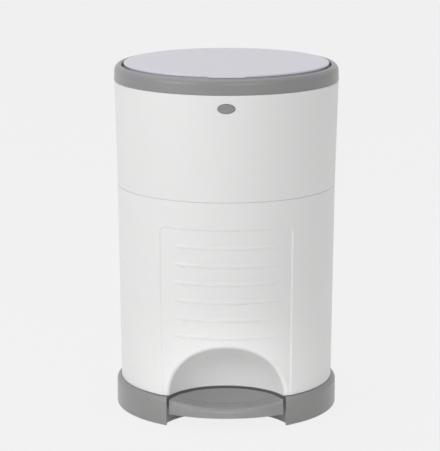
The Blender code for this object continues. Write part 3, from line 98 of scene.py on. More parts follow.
def count(label, default, description, low=1):
    """A whole number for a sidebar."""
    return IntProperty(name=label, description=description, default=default, min=low)


def colour(label, default, description):
    """A colour for a sidebar."""
    return FloatVectorProperty(
        name=label, description=description, default=default, size=3, min=0.0, max=1.0, subtype="COLOR"
    )


class TubSizes(PropertyGroup):
    """The white tub: its two flared shells and their seam."""

    wall: length("Wall", 0.0026, "Thickness of the tub's wall")
    base_top: length("Base top", 0.0388, "Height of the floor that the tub stands on")
    seam: length("Seam", 0.3044, "Height of the seam between the lower and upper tub")
    seam_gap: length("Seam gap", 0.0003, "Height of the groove at the seam")
    rim_height: length("Rim height", 0.4440, "Height of the tub's rim")
    foot_radius: length("Foot radius", 0.14265, "Outer radius where the tub meets its base")
    seam_radius: length("Seam radius", 0.1458, "Outer radius at the seam")
    rim_radius: length("Rim radius", 0.1494, "Outer radius at the rim")
    edge: length("Edge", 0.0005, "Rounding of the shells' outer edges")
    steps: count("Steps", 180, "Faces round a whole turn", 36)


class DoorSizes(PropertyGroup):
    """The emptying door with its sunk panel, soft ribs and toe scoop."""

    half_angle: angle("Half angle", 84.0, "Azimuth of the door's two edges from the front")
    foot_gap: length("Foot gap", 0.0007, "Gap between the door and the base")
    hinge_depth: length("Hinge depth", 0.0022, "Radius of the rounded hinge edge")
    pin_radius: length("Pin radius", 0.0013, "Radius of the hinge pins")
    pin_length: length("Pin length", 0.0028, "How far the hinge pins stand out")
    hinge_groove: length("Hinge groove", 0.0030, "Width of the groove at the hinge")
    latch_groove: length("Latch groove", 0.0007, "Width of the groove at the free edge")
    panel_half: angle("Panel half angle", 37.1, "Azimuth of the panel's sides")
    panel_top: length("Panel top", 0.2687, "Height of the panel's upper edge")
    panel_corner: length("Panel corner", 0.0095, "Radius of the panel's upper corners")
    panel_depth: length("Panel depth", 0.0016, "How deep the panel is sunk")
    panel_slope: length("Panel slope", 0.0024, "Width of the soft step round the panel")
    rib_low: length("Lowest rib", 0.1244, "Height of the lowest rib")
    rib_pitch: length("Rib pitch", 0.0240, "Distance from rib to rib")
    rib_count: count("Ribs", 6, "How many ribs the panel has")
    rib_half: angle("Rib half angle", 28.6, "Azimuth of the ribs' ends")
    rib_height: length("Rib height", 0.0062, "Height of a rib")
    rib_rise: length("Rib rise", 0.0015, "How far a rib stands out of the panel")
    scoop_centre: length("Scoop centre", 0.1510, "Distance of the scoop's middle in front of the tub's axis")
    scoop_radius: length("Scoop radius", 0.0827, "Radius of the toe scoop in plan")
    scoop_height: length("Scoop height", 0.0715, "Height of the toe scoop over the base")
    scoop_edge: length("Scoop edge", 0.0055, "Rounding of the scoop's rim")


class BaseSizes(PropertyGroup):
    """The grey base."""

    radius: length("Radius", 0.1488, "Outer radius of the base")
    foot: length("Foot", 0.0012, "Height of the base's lower edge over the floor")
    shoulder: length("Shoulder", 0.0058, "Rounding of the base's upper edge")
    foot_round: length("Foot rounding", 0.0012, "Rounding of the base's lower edge")
    wall: length("Wall", 0.0030, "Thickness of the base's side")
    deck: length("Deck", 0.0026, "Thickness of the base's floor")
    bite_half: length("Bite half width", 0.0783, "Half width of the pedal's opening")
    bite_radius: length("Bite radius", 0.0860, "Radius of the opening's round back")
    bite_edge: length("Bite edge", 0.0008, "Rounding along the pedal's opening")
    corner: length("Corner", 0.0016, "Rounding of the base's corners beside the pedal")
    toe_wall: length("Toe wall", 0.0026, "Thickness of the wall behind the pedal")
    axle_y: length("Axle place", -0.0400, "Place of the pedal's axle from front to back", -1.0)
    axle_z: length("Axle height", 0.0210, "Height of the pedal's axle")


class PedalSizes(PropertyGroup):
    """The foot pedal."""

    half_width: length("Half width", 0.0750, "Half width of the pedal")
    rear_radius: length("Rear radius", 0.0783, "Radius of the pedal's round back")
    underside: length("Underside", 0.0173, "Height of the pedal's lower edge")
    front_middle: length("Front middle", 0.0310, "Height of the front edge in the middle")
    front_corner: length("Front corner", 0.0376, "Height of the front edge at the tips")
    rear_top: length("Rear top", 0.0376, "Height of the pedal's rear edge")
    edge: length("Edge", 0.0060, "Rounding of the front edge")
    wall: length("Wall", 0.0028, "Thickness of the pedal's pad")
    groove_depth: length("Groove depth", 0.0011, "Depth of the grip grooves")


class RingSizes(PropertyGroup):
    """The grey ring round the lid."""

    radius: length("Radius", 0.1496, "Outer radius of the ring")
    foot: length("Foot", 0.4443, "Height of the ring's lower edge")
    top: length("Top", 0.4640, "Height of the ring's top at the front")
    back_rise: length("Back rise", 0.0026, "How much higher the ring's top is at the back")
    rounding: length("Rounding", 0.0075, "Rounding of the ring's outer top edge")
    bead: length("Bead", 0.0003, "How far the bead at the foot stands out")
    bead_height: length("Bead height", 0.0026, "Height of the bead")
    mouth: length("Mouth", 0.1397, "Radius of the ring's mouth")
    lip: length("Lip", 0.0008, "Rounding of the mouth's edge")
    ledge: length("Ledge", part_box("top_ring")[1][2] - 0.0100, "Height of the ledge under the lid")
    bore: length("Bore", 0.1290, "Inner radius of the ledge")
    relief: length("Relief", 0.0045, "Depth of the step behind the lid's hinge")
    relief_half: angle("Relief half angle", 29.0, "Half the width of that step")


class LidSizes(PropertyGroup):
    """The lid."""

    radius: length("Radius", 0.1370, "Outer radius of the lid")
    crown: length("Crown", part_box("top_ring")[1][2], "Height of the lid's middle")
    edge_top: length("Edge top", 0.4673, "Height of the lid's edge")
    edge_foot: length("Edge foot", 0.4612, "Height of the skirt's lower edge")
    skirt: length("Skirt", 0.0044, "How far the inside of the skirt lies from the lid's edge")
    undercut: length("Undercut", 0.0020, "How far the skirt stands back under the lid's rim")
    thickness: length("Thickness", 0.0028, "Thickness of the lid")
    notch_half: length("Notch half width", 0.0260, "Half width of the finger notch")
    notch_depth: length("Notch depth", 0.0011, "Depth of the finger notch")
    hinge_y: length("Hinge place", 0.1320, "Distance of the lid's hinge behind the axis")
    hinge_z: length("Hinge height", 0.4615, "Height of the lid's hinge")
    opening: angle("Opening", 75.0, "How far the pedal lifts the lid")
    rod_y: length("Rod place", 0.11547, "Distance of the push rod behind the axis")
    rod_travel: length("Rod travel", 0.021637, "How far the rod rises")


class ButtonSizes(PropertyGroup):
    """The oval release button."""

    height: length("Height", 0.4269, "Height of the button's middle")
    half_width: length("Half width", 0.01115, "Half the button's width")
    half_height: length("Half height", 0.00605, "Half the button's height")
    proud: length("Proud", 0.0006, "How far the button stands out of the tub")
    rim: length("Rim", 0.0024, "Width of the button's rim")
    dish: length("Dish", 0.0007, "Depth of the button's dished middle")
    gap: length("Gap", 0.0004, "Gap round the button")
    travel: length("Travel", 0.0030, "How far the button can be pressed")
    spring_wire: length("Spring wire", 0.0004, "Radius of the latch spring's wire")
    spring_turns: count("Spring turns", 5, "Turns of the latch spring")


class Finishes(PropertyGroup):
    """The colours of the moulded plastics, the rubber and the steel."""

    white: colour("White", (0.84, 0.84, 0.838), "The tub's white plastic")
    lid: colour("Lid", (0.665, 0.655, 0.735), "The lid's cool white plastic")
    inner: colour("Inner", (0.78, 0.78, 0.78), "The white plastic inside the tub")
    grey: colour("Grey", (0.272, 0.272, 0.270), "The grey plastic of the base, pedal and ring")
    rubber: colour("Rubber", (0.045, 0.045, 0.045), "The feet")
    steel: colour("Steel", (0.60, 0.60, 0.62), "Pins, axle, lever and blade")


class StudioSettings(PropertyGroup):
    """The floor, the backdrop, the lamps and the camera."""

    camera_distance: length("Camera distance", 2.933, "How far the camera stands in front of the bin's axis")
    camera_height: length("Camera height", 0.870, "Height of the camera")
    camera_pitch: angle("Camera pitch", 12.045, "How far the camera looks down")
    camera_yaw: angle("Camera yaw", 0.167, "How far the camera is turned")
    lens: number("Lens", 177.15, "Focal length in millimetres", 1.0, "CAMERA")
    backdrop: colour("Backdrop", (0.893, 0.893, 0.893), "Colour that the camera sees behind the bin")
    floor: colour("Floor", (0.92, 0.92, 0.92), "Colour of the floor")
    key_power: number("Key lamp", 20.5, "Power of the large soft box at the left", unit="POWER")
    fill_power: number("Fill lamp", 8.0, "Power of the soft box in front, to the right", unit="POWER")
    low_power: number("Low lamp", 0.020, "Power of the small low lamp in front of the pedal", unit="POWER")
    top_power: number("Top lamp", 7.5, "Power of the soft box over the lid", unit="POWER")
    world: number("Ambient", 0.50, "Strength of the surrounding light")


class BinSettings(PropertyGroup):
    """Everything that a user may change before building."""

    tub: PointerProperty(type=TubSizes)
    door: PointerProperty(type=DoorSizes)
    base: PointerProperty(type=BaseSizes)
    pedal: PointerProperty(type=PedalSizes)
    ring: PointerProperty(type=RingSizes)
    lid: PointerProperty(type=LidSizes)
    button: PointerProperty(type=ButtonSizes)
    finish: PointerProperty(type=Finishes)
    studio: PointerProperty(type=StudioSettings)


def settings():
    """The settings of the open scene."""
    return bpy.context.scene.nappy_bin


# ---------------------------------------------------------------- mesh making


def polar(radius, azimuth, height):
    """Points at azimuths in degrees from the front, positive toward +X."""
    turn = np.radians(azimuth)
    radius, turn, height = np.broadcast_arrays(radius, turn, height)
    return np.stack([radius * np.sin(turn), -radius * np.cos(turn), height], axis=-1)


def at_height(plan, height):
    """The points of a plan outline, set at one height."""
    return np.column_stack([plan, np.full(len(plan), height)])


def arc(centre, radius, start, end, steps):
    """Points (across, up) of a round stretch, by angles in degrees."""
    turn = np.radians(np.linspace(start, end, steps + 1))
    return np.stack([centre[0] + radius * np.cos(turn), centre[1] + radius * np.sin(turn)], axis=-1)


def circle(centre, radius, steps):
    """A closed round outline."""
    return arc(centre, radius, 0.0, FULL_TURN, steps)[:-1]


def stretches(start, *parts):
    """Places from start on, evenly spaced within each (stop, steps) part."""
    places = [start]
    for stop, steps in parts:
        places.extend(np.linspace(places[-1], stop, steps + 1)[1:])
    return np.array(places)


def crowded(start, end, count, at_end):
    """Rows of places from start to end, close together toward one of the two."""
    share = np.linspace(0.0, 1.0, count)[:, None]
    return start + (end - start) * (1.0 - (1.0 - share) ** 2 if at_end else share**2)


def smooth_step(value, start, end):
    """0 before start, 1 after end, with a soft change between them."""
    share = np.clip((value - start) / (end - start), 0.0, 1.0)
    return share * share * (3.0 - 2.0 * share)


def soft_edge(distance, rounding):
    """How far a surface rolls back within a rounding of its edge."""
    share = np.clip(1.0 - distance / rounding, 0.0, 1.0)
    return rounding * (1.0 - np.sqrt(1.0 - share**2))


def curve(start, corner, end, share):
    """A place on the rounding of a corner between two points."""
    return (1 - share) ** 2 * start + 2 * share * (1 - share) * corner + share * share * end


def eased(corners, steps=6):
    """A closed outline of (across, up, rounding) corners, each rounded off."""
    outline = []
    count = len(corners)
    for i, (across, up, rounding) in enumerate(corners):
        here = np.array([across, up])
        before = np.array(corners[i - 1][:2]) - here
        after = np.array(corners[(i + 1) % count][:2]) - here
        before_size, after_size = np.linalg.norm(before), np.linalg.norm(after)
        reach = min(rounding, before_size / 2, after_size / 2)
        if reach <= 0.0:
            outline.append(here)
            continue
        start, end = here + before / before_size * reach, here + after / after_size * reach
        outline.extend(curve(start, here, end, j / steps) for j in range(steps + 1))
    return np.array(outline)


class Casting:
    """The points and faces of one piece while it is put together."""

    def __init__(self):
        self.points = []
        self.faces = []

    def grid(self, points, wrap_rows=False, wrap_columns=False, skip=None):
        """Adds a net of points, skinned, and gives its indices back."""
        rows, columns = points.shape[:2]
        index = len(self.points) + np.arange(rows * columns).reshape(rows, columns)
        self.points.extend(points.reshape(-1, 3).tolist())
        for i in range(rows if wrap_rows else rows - 1):
            for j in range(columns if wrap_columns else columns - 1):
                if skip is not None and skip(i, j):
                    continue
                k, m = (i + 1) % rows, (j + 1) % columns
                self.faces.append((index[i, j], index[i, m], index[k, m], index[k, j]))
        return index

    def cap(self, loop):
        """Shuts a loop with one flat face."""
        self.faces.append(tuple(int(i) for i in loop))

    def join(self, first, second, wrap=True):
        """Skins the space between two loops of the same length."""
        count = len(first)
        for i in range(count if wrap else count - 1):
            j = (i + 1) % count
            self.faces.append((first[i], first[j], second[j], second[i]))

    def drum(self, loops):
        """A stack of closed loops, skinned and shut at both ends."""
        index = self.grid(np.array(loops), wrap_columns=True)
        self.cap(index[0])
        self.cap(index[-1][::-1])

    def turned(self, profile, azimuths, whole, reshape=None, skip=None):
        """A profile of (radius, height) turned about Z past a list of azimuths."""
        radius = np.repeat(profile[:, 0][:, None], len(azimuths), axis=1)
        height = np.repeat(profile[:, 1][:, None], len(azimuths), axis=1)
        turn = np.repeat(np.array(azimuths)[None, :], len(profile), axis=0)
        if reshape is not None:
            radius, height = reshape(radius, height, turn)
        index = self.grid(polar(radius, turn, height), wrap_rows=True, wrap_columns=whole, skip=skip)
        if not whole:
            self.cap(index[:, 0])
            self.cap(index[::-1, -1])
        return index

    def bar(self, outline, near, far, edge=0.0004, axis="X"):
        """An outline in the plane across an axis, drawn out along it, with softened ends."""
        outline = np.array(outline)
        middle = outline.mean(axis=0)
        size = np.linalg.norm(outline - middle, axis=1).max()
        loops = []
        for place, inset in ((near, edge), (near + edge, 0.0), (far - edge, 0.0), (far, edge)):
            loop = middle + (outline - middle) * (1.0 - inset / size)
            loops.append(np.insert(loop, "XYZ".index(axis), place, axis=1))
        self.drum(loops)

    def round_bar(self, place, radius, near, far, axis="X", steps=24):
        """A round bar along an axis."""
        self.bar(circle(place, radius, steps), near, far, 0.0003, axis)

    def block(self, low, high, edge=0.0004):
        """A box with softened edges."""
        outline = eased([
            (low[1], low[2], edge), (high[1], low[2], edge), (high[1], high[2], edge), (low[1], high[2], edge)
        ], 2)
        self.bar(outline, low[0], high[0], edge)

    def cast(self, name, body, slot, node, sharp=40.0):
        """The finished piece, riding on its body in place of its solid."""
        mesh = bmesh.new()
        points = [mesh.verts.new(point) for point in self.points]
        for face in self.faces:
            corners = [points[i] for i in dict.fromkeys(face)]
            if len(corners) > 2:
                mesh.faces.new(corners)
        bmesh.ops.remove_doubles(mesh, verts=mesh.verts, dist=WELD)
        bmesh.ops.dissolve_degenerate(mesh, edges=mesh.edges, dist=WELD)
        bmesh.ops.delete(mesh, geom=[e for e in mesh.edges if not e.link_faces], context="EDGES")
        bmesh.ops.recalc_face_normals(mesh, faces=mesh.faces)
        data = bpy.data.meshes.new(name)
        mesh.to_mesh(data)
        mesh.free()
        data.shade_smooth()
        data.set_sharp_from_angle(angle=math.radians(sharp))
        data.materials.append(surface(slot))
        piece = bpy.data.objects.new(name, data)
        bpy.context.scene.collection.objects.link(piece)
        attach(piece, body)
        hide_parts(node)
        return piece


# ---------------------------------------------------------------- finishes


class Graph:
    """A short way to lay out a material's nodes."""

    def __init__(self, name):
        self.material = bpy.data.materials.new(name)
        self.material.use_nodes = True
        self.nodes = self.material.node_tree.nodes
        self.links = self.material.node_tree.links
        self.shader = self.nodes["Principled BSDF"]
        self.place = self.nodes.new("ShaderNodeTexCoord").outputs["Object"]

    def set(self, socket, value):
        """Links a socket to another, or gives it a plain number or colour."""
        if isinstance(value, (float, tuple)):
            socket.default_value = value
        else:
            self.links.new(value, socket)

    def set_all(self, node, **values):
        """Sets several sockets of a node by their names."""
        for name, value in values.items():
            self.set(node.inputs[name], value)

    def noise(self, scale, detail=3.0, roughness=0.55, stretch=None):
        """Cloudy variation over the piece, drawn out where a stretch is given."""
        place = self.place
        if stretch is not None:
            mapping = self.nodes.new("ShaderNodeMapping")
            mapping.inputs["Scale"].default_value = stretch
            self.links.new(place, mapping.inputs["Vector"])
            place = mapping.outputs["Vector"]
        node = self.nodes.new("ShaderNodeTexNoise")
        self.set_all(node, Scale=scale, Detail=detail, Roughness=roughness, Vector=place)
        return node.outputs["Fac"]

    def ranged(self, value, low, high, from_low=0.3, from_high=0.7):
        """A value's range brought to low and high."""
        node = self.nodes.new("ShaderNodeMapRange")
        self.set_all(node, **{
            "Value": value, "From Min": from_low, "From Max": from_high, "To Min": low, "To Max": high
        })
        return node.outputs["Result"]

    def mixed(self, factor, first, second):
        """Two colours mixed by a factor."""
        node = self.nodes.new("ShaderNodeMix")
        node.data_type = "RGBA"
        self.set_all(node, Factor=factor, A=first, B=second)
        return node.outputs["Result"]

    def painted_highlight_mask(self, start=0.515, end=0.56):
        """The mask of the painted edge highlight: 0 on flat stretches and up to 1 on outer edges."""
        pointed = self.nodes.new("ShaderNodeNewGeometry").outputs["Pointiness"]
        return self.ranged(pointed, 0.0, 1.0, start, end)

    def bump(self, *layers):
        """Stacked bumps from (height, depth in metres) pairs."""
        normal = None
        for height, depth in layers:
            node = self.nodes.new("ShaderNodeBump")
            node.inputs["Distance"].default_value = depth
            self.links.new(height, node.inputs["Height"])
            if normal is not None:
                self.links.new(normal, node.inputs["Normal"])
            normal = node.outputs["Normal"]
        self.feed("Normal", normal)

    def feed(self, socket, value):
        """Sets a socket of the shader."""
        self.set(self.shader.inputs[socket], value)


def shade(tint, factor):
    """A tint made darker or lighter."""
    return (*(min(1.0, channel * factor) for channel in tint), 1.0)


def moulded_plastic(name, tint, rough, grain, grain_depth, wave_depth, mottle, highlight_gain):
    """Injection-moulded plastic: a fine spark-eroded grain, a faint waviness, and a painted highlight that
    lightens the tint on outer edges.
    """
    made = Graph(name)
    dark, light = shade(tint, 1.0 - mottle), shade(tint, 1.0 + mottle)
    cloud = made.noise(14.0, 2.0)
    flow = made.noise(60.0, 3.0, 0.6, (1.0, 1.0, 0.35))
    fine = made.noise(grain, 4.0, 0.7)
    clouded = made.mixed(made.ranged(cloud, 0.0, 1.0), dark, light)
    speckled = made.mixed(made.ranged(fine, 0.0, 1.0, 0.35, 0.65), dark, light)
    base = made.mixed(0.5, clouded, speckled)
    # Painted highlight: outer edges are lightened toward the tint times its gain.
    made.feed("Base Color", made.mixed(made.painted_highlight_mask(), base, shade(tint, highlight_gain)))
    made.feed("Roughness", made.ranged(flow, rough - 0.06, rough + 0.06, 0.0, 1.0))
    made.feed("IOR", 1.49)
    made.bump((cloud, wave_depth), (fine, grain_depth))
    return made.material


def rubber(name, tint):
    """Matt rubber with a dusty, pitted skin."""
    made = Graph(name)
    pits = made.noise(900.0, 4.0, 0.7)
    dust = made.noise(120.0)
    made.feed("Base Color", made.mixed(made.ranged(dust, 0.0, 1.0), shade(tint, 0.8), shade(tint, 1.6)))
    made.feed("Roughness", made.ranged(dust, 0.72, 0.9))
    made.bump((pits, 0.00006))
    return made.material


def steel(name, tint):
    """Plain steel, drawn lengthways, with faint fine lines and stains."""
    made = Graph(name)
    lines = made.noise(300.0, 3.0, 0.6, (0.06, 1.0, 1.0))
    stain = made.noise(45.0)
    made.feed("Base Color", made.mixed(made.ranged(stain, 0.0, 1.0), shade(tint, 0.86), shade(tint, 1.05)))
    made.feed("Roughness", made.ranged(lines, 0.24, 0.42))
    made.feed("Metallic", 1.0)
    made.bump((lines, 0.00001))
    return made.material


# Each slot's maker, its material's name, its tint among the finishes, and a plastic's surface:
# roughness, grain scale, depths of grain and waviness, mottling, and the tint's gain for the painted
# highlight on outer edges.
FINISHES = {
    "white_plastic": (
        moulded_plastic, "white moulded plastic", "white", 0.36, 1500.0, 0.000012, 0.00025, 0.008, 1.03),
    "lid_plastic": (
        moulded_plastic, "cool white moulded plastic", "lid", 0.30, 1500.0, 0.000010, 0.0002, 0.008, 1.16),
    "inner_plastic": (
        moulded_plastic, "inner white plastic", "inner", 0.50, 1100.0, 0.00002, 0.0003, 0.012, 1.02),
    "grey_plastic": (
        moulded_plastic, "grey grained plastic", "grey", 0.31, 1300.0, 0.000022, 0.0002, 0.03, 1.10),
    "rubber_foot": (rubber, "foot rubber", "rubber"),
    "steel": (steel, "drawn steel", "steel"),
}
SURFACES = {}


def surface(slot):
    """The finish of a material slot, made when it is first asked for."""
    if slot not in SURFACES:
        maker, name, tint, *look = FINISHES[slot]
        SURFACES[slot] = maker(name, tuple(getattr(settings().finish, tint)), *look)
    return SURFACES[slot]


# ---------------------------------------------------------------- the tub


def lower_radius(height):
    """Outer radius of the lower tub at a height."""
    tub = settings().tub
    share = (height - tub.base_top) / (tub.seam - tub.base_top)
    return tub.foot_radius + share * (tub.seam_radius - tub.foot_radius)


def upper_radius(height):
    """Outer radius of the upper tub at a height."""
    tub = settings().tub
    share = (height - tub.seam) / (tub.rim_height - tub.seam)
    return tub.seam_radius + share * (tub.rim_radius - tub.seam_radius)


def door_top():
    """Height of the lower tub's top, under the seam's groove."""
    tub = settings().tub
    return tub.seam - tub.seam_gap / 2


def panel_drop(azimuth, height):
    """How far the door's face lies under the tub's side: the sunk panel and the ribs that stand up in it."""
    door = settings().door
    panel_half, rib_half = math.degrees(door.panel_half), math.degrees(door.rib_half)
    side = (panel_half - np.abs(azimuth)) * math.radians(1.0) * lower_radius(height)
    above = door.panel_top - height
    corner = door.panel_corner
    outside = np.hypot(np.minimum(side - corner, 0.0), np.minimum(above - corner, 0.0))
    inside = np.minimum(np.minimum(side, above), corner)
    depth_in = np.where((side < corner) & (above < corner), corner - outside, inside)
    drop = door.panel_depth * smooth_step(depth_in, 0.0, door.panel_slope)
    rib = np.zeros_like(drop)
    end_fall, crest = 14, 0.75
    for i in range(door.rib_count):
        across = np.abs(height - door.rib_low - i * door.rib_pitch) / (door.rib_height / 2)
        along = np.abs(azimuth) / rib_half
        inside_rib = np.clip(1.0 - across**2 - along**end_fall, 0.0, 1.0)
        rib = np.maximum(rib, door.rib_rise * inside_rib**crest)
    return drop - rib


def scoop_outline(azimuth):
    """Height of the toe scoop's rim on the tub's side."""
    tub, door = settings().tub, settings().door
    height = np.full_like(azimuth, tub.base_top)
    rounds = 8
    for _ in range(rounds):
        x, y = polar(lower_radius(height), azimuth, height)[:, :2].T
        plan = (x**2 + (y + door.scoop_centre) ** 2) / door.scoop_radius**2
        height = tub.base_top + door.scoop_height * np.sqrt(np.clip(1.0 - plan, 0.0, 1.0))
    return height


def door_surface(azimuth, height, inset, face):
    """Points of the door's outer face, or of its inner face at an inset, scooped out for a toe."""
    tub, door = settings().tub, settings().door
    radius = lower_radius(height) - inset
    x = radius * np.sin(np.radians(azimuth))
    near = -radius * np.cos(np.radians(azimuth))

    def outside(y):
        """How far a place lies outside the plastic, with the scoop's rim rounded over."""
        turn = np.degrees(np.arctan2(x, -y))
        wall = np.hypot(x, y) - radius
        if face:
            wall = wall + panel_drop(turn, height) + soft_edge(door_top() - height, tub.edge)
            wall = wall + soft_edge(height - tub.base_top - door.foot_gap, tub.edge)
        a, c = door.scoop_radius + inset, door.scoop_height + inset
        rise = height - tub.base_top
        forward = y + door.scoop_centre
        near_share = np.sqrt((x**2 + forward**2) / a**2 + rise**2 / c**2)
        slope = np.sqrt((x**2 + forward**2) / a**4 + rise**2 / c**4)
        scoop = near_share * (1.0 - near_share) / np.maximum(slope, 1e-9)
        edge = door.scoop_edge
        both = np.hypot(np.maximum(edge + wall, 0.0), np.maximum(edge + scoop, 0.0))
        return np.minimum(-edge, np.maximum(wall, scoop)) + both

    reach, ahead, deepest, halvings = 50.0, 0.004, -0.03, 40
    low, high = near - ahead, np.full_like(near, deepest)
    for _ in range(halvings):
        middle = (low + high) / 2
        open_air = outside(middle) > 0.0
        low = np.where(open_air, middle, low)
        high = np.where(open_air, high, middle)
    y = np.where(np.abs(azimuth) <= reach, (low + high) / 2, near)
    return np.stack([x, y, height], axis=-1)


def door_columns():
    """Azimuths of the door's columns, closest at the ribs' ends, the panel's sides and the door's edges."""
    edge = math.degrees(settings().door.half_angle)
    half = stretches(0.0, (27.0, 27), (29.4, 8), (35.0, 22), (37.4, 14), (edge - 0.6, 25), (edge, 5))
    return np.concatenate([-half[::-1][:-1], half])


def door_rows(azimuths):
    """Heights of the door's rows at each azimuth, bent round the scoop's rim."""
    tub, door = settings().tub, settings().door
    foot, top = tub.base_top + door.foot_gap, door_top()
    least_rim, straight_from, over_panel = 0.0016, 0.1165, 0.0006
    half = door.rib_height / 2
    rim = np.maximum(scoop_outline(azimuths), foot + least_rim)
    bent = [crowded(foot, rim, 30, True), crowded(rim, straight_from, 20, False)[1:]]
    straight = [stretches(straight_from, (door.rib_low - half, 4))[1:]]
    for i in range(door.rib_count):
        centre = door.rib_low + i * door.rib_pitch
        straight.append(centre + half * np.sin(np.linspace(-np.pi / 2, np.pi / 2, 13))[1:])
        last = i == door.rib_count - 1
        upper = door.panel_top - door.panel_corner if last else centre + door.rib_pitch - half
        straight.append(stretches(centre + half, (upper, 5))[1:])
    straight.append(stretches(
        door.panel_top - door.panel_corner, (door.panel_top + over_panel, 21), (top - tub.edge, 7), (top, 5)
    )[1:])
    rows = np.repeat(np.concatenate(straight)[:, None], len(azimuths), axis=1)
    return np.concatenate([*bent, rows])


def build_door():
    """The front door: one moulded skin, with its sunk panel, ribs and toe scoop, and its hinge pins."""
    tub, door = settings().tub, settings().door
    azimuths = door_columns()
    heights = door_rows(azimuths)
    turn = np.repeat(azimuths[None, :], len(heights), axis=0)
    skin = Casting()
    outer = skin.grid(door_surface(turn, heights, 0.0, True))
    inner = skin.grid(door_surface(turn, heights, tub.wall, False))
    for side in ((0, slice(None)), (-1, slice(None)), (slice(None), 0), (slice(None), -1)):
        skin.join(outer[side], inner[side], wrap=False)
    foot, top = heights[0, 0], heights[-1, 0]
    pin_top = tub.seam + tub.seam_gap / 2 + door.pin_length
    bevel, bevel_share = 0.0004, 0.85
    barrel, pin = (foot, top, door.hinge_depth), (foot - door.pin_length, pin_top, door.pin_radius)
    for low, high, radius in (barrel, pin):
        rings = []
        for height, share in (
            (low, bevel_share), (low + bevel, 1.0), (high - bevel, 1.0), (high, bevel_share)
        ):
            centre = polar(lower_radius(height) - door.hinge_depth, -math.degrees(door.half_angle), height)
            rings.append(at_height(circle(centre, radius * share, 20), height))
        skin.drum(rings)
    skin.cast("door_skin", "door", "white_plastic", "front_door")


def build_rear_shell():
    """The back half of the lower tub, with the thin tongue at its top."""
    tub, door = settings().tub, settings().door
    edge = math.degrees(door.half_angle)
    start = edge + math.degrees(door.latch_groove / tub.foot_radius)
    end = FULL_TURN - edge - math.degrees(door.hinge_groove / tub.foot_radius)
    count = int(tub.steps * (end - start) / FULL_TURN)
    foot, top = tub.base_top + 0.0003, door_top()
    tongue, rise, corner = 0.0012, 0.0007, 0.0002
    inner_top = lower_radius(top) - tub.wall
    profile = eased([
        (lower_radius(foot) - tub.wall, foot, 0.0003),
        (lower_radius(foot), foot, tub.edge),
        (lower_radius(top), top, tub.edge),
        (inner_top + tongue, top, 0.0),
        (inner_top + tongue, top + rise, corner),
        (inner_top, top + rise, corner),
    ])
    shell = Casting()
    shell.turned(profile, np.linspace(start, end, count), False)
    shell.cast("rear_skin", "tub", "white_plastic", "rear_shell")


def build_upper_shell():
    """The upper tub with its flange, shelf rib, button hole and rear hinge knuckles."""
    tub, button = settings().tub, settings().button
    foot = tub.seam + tub.seam_gap / 2
    flange, flange_top = tub.seam_radius - 0.0130, foot + 0.0026
    rib_top, rib_height, rib_width, corner = 0.3747, 0.0030, 0.0040, 0.0003
    hole_half_height, hole_half_angle = 0.0115, 7.0

    def inner(height):
        return upper_radius(height) - tub.wall

    window = np.linspace(button.height - hole_half_height, button.height + hole_half_height, 13)
    section = eased([
        (flange, foot, corner),
        (upper_radius(foot), foot, tub.edge),
        (tub.rim_radius, tub.rim_height, 0.0005),
        (inner(tub.rim_height), tub.rim_height, corner),
        (inner(rib_top), rib_top, 0.0),
        (inner(rib_top) - rib_width, rib_top, corner),
        (inner(rib_top - rib_height), rib_top - rib_height, 0.0),
        (inner(flange_top), flange_top, 0.0),
        (flange, flange_top, corner),
    ])
    profile, firsts = [], []
    for (radius, height), (_, following) in zip(section, np.roll(section, -1, axis=0)):
        profile.append((radius, height))
        if height < window[0] and following > window[-1]:
            firsts.append(len(profile))
            profile.extend((upper_radius(z), z) for z in window)
        elif height > window[-1] and following < window[0]:
            firsts.append(len(profile))
            profile.extend((inner(z), z) for z in window[::-1])
    hole_columns = np.linspace(-hole_half_angle, hole_half_angle, 15)
    others = np.linspace(hole_half_angle, FULL_TURN - hole_half_angle, tub.steps - 12)[1:-1]
    last, width = len(window) - 1, len(hole_columns) - 1

    def in_window(i, j):
        return j < width and any(first <= i < first + last for first in firsts)

    shell = Casting()
    index = shell.turned(np.array(profile), np.concatenate([hole_columns, others]), True, skip=in_window)
    edges = []
    for first, flip, depth in ((firsts[0], False, 0.0), (firsts[1], True, tub.wall)):
        rows = index[first:first + last + 1, :width + 1]
        if flip:
            rows = rows[::-1]
        loop = [*rows[0, :], *rows[1:, -1], *rows[-1, -2::-1], *rows[-2:0:-1, 0]]
        edges.append(close_to_oval(shell, loop, depth))
    shell.join(edges[0], edges[1])
    add_tub_knuckles(shell)
    shell.cast("upper_skin", "tub", "white_plastic", "upper_shell")


def close_to_oval(shell, loop, depth):
    """Narrows a window in the tub's face, or in its inner face at a depth, to the button's oval hole."""
    button = settings().button
    wide, tall = button.half_width + button.gap, button.half_height + button.gap
    corners = np.array([shell.points[i] for i in loop])
    side, rise = corners[:, 0], corners[:, 2] - button.height
    turns = np.arctan2(rise / tall, side / wide)
    previous = loop
    # Each stage: the share of the way to the oval, how deep it lies, and how much wider it is than the hole.
    stages = (
        (0.45, 0.0, 0.0), (0.8, 0.0, 0.0), (1.0, 0.0, 0.00045), (1.0, 0.00013, 0.00013), (1.0, 0.00045, 0.0)
    )
    for share, sunk, grow in stages:
        x = side * (1 - share) + (wide + grow) * np.cos(turns) * share
        z = rise * (1 - share) + (tall + grow) * np.sin(turns) * share + button.height
        radius = upper_radius(z) - depth
        y = -np.sqrt(radius**2 - x**2) + (sunk if depth == 0.0 else -sunk)
        ring = len(shell.points) + np.arange(len(x))
        shell.points.extend(np.stack([x, y, z], axis=-1).tolist())
        shell.join(previous, ring)
        previous = ring
    return previous


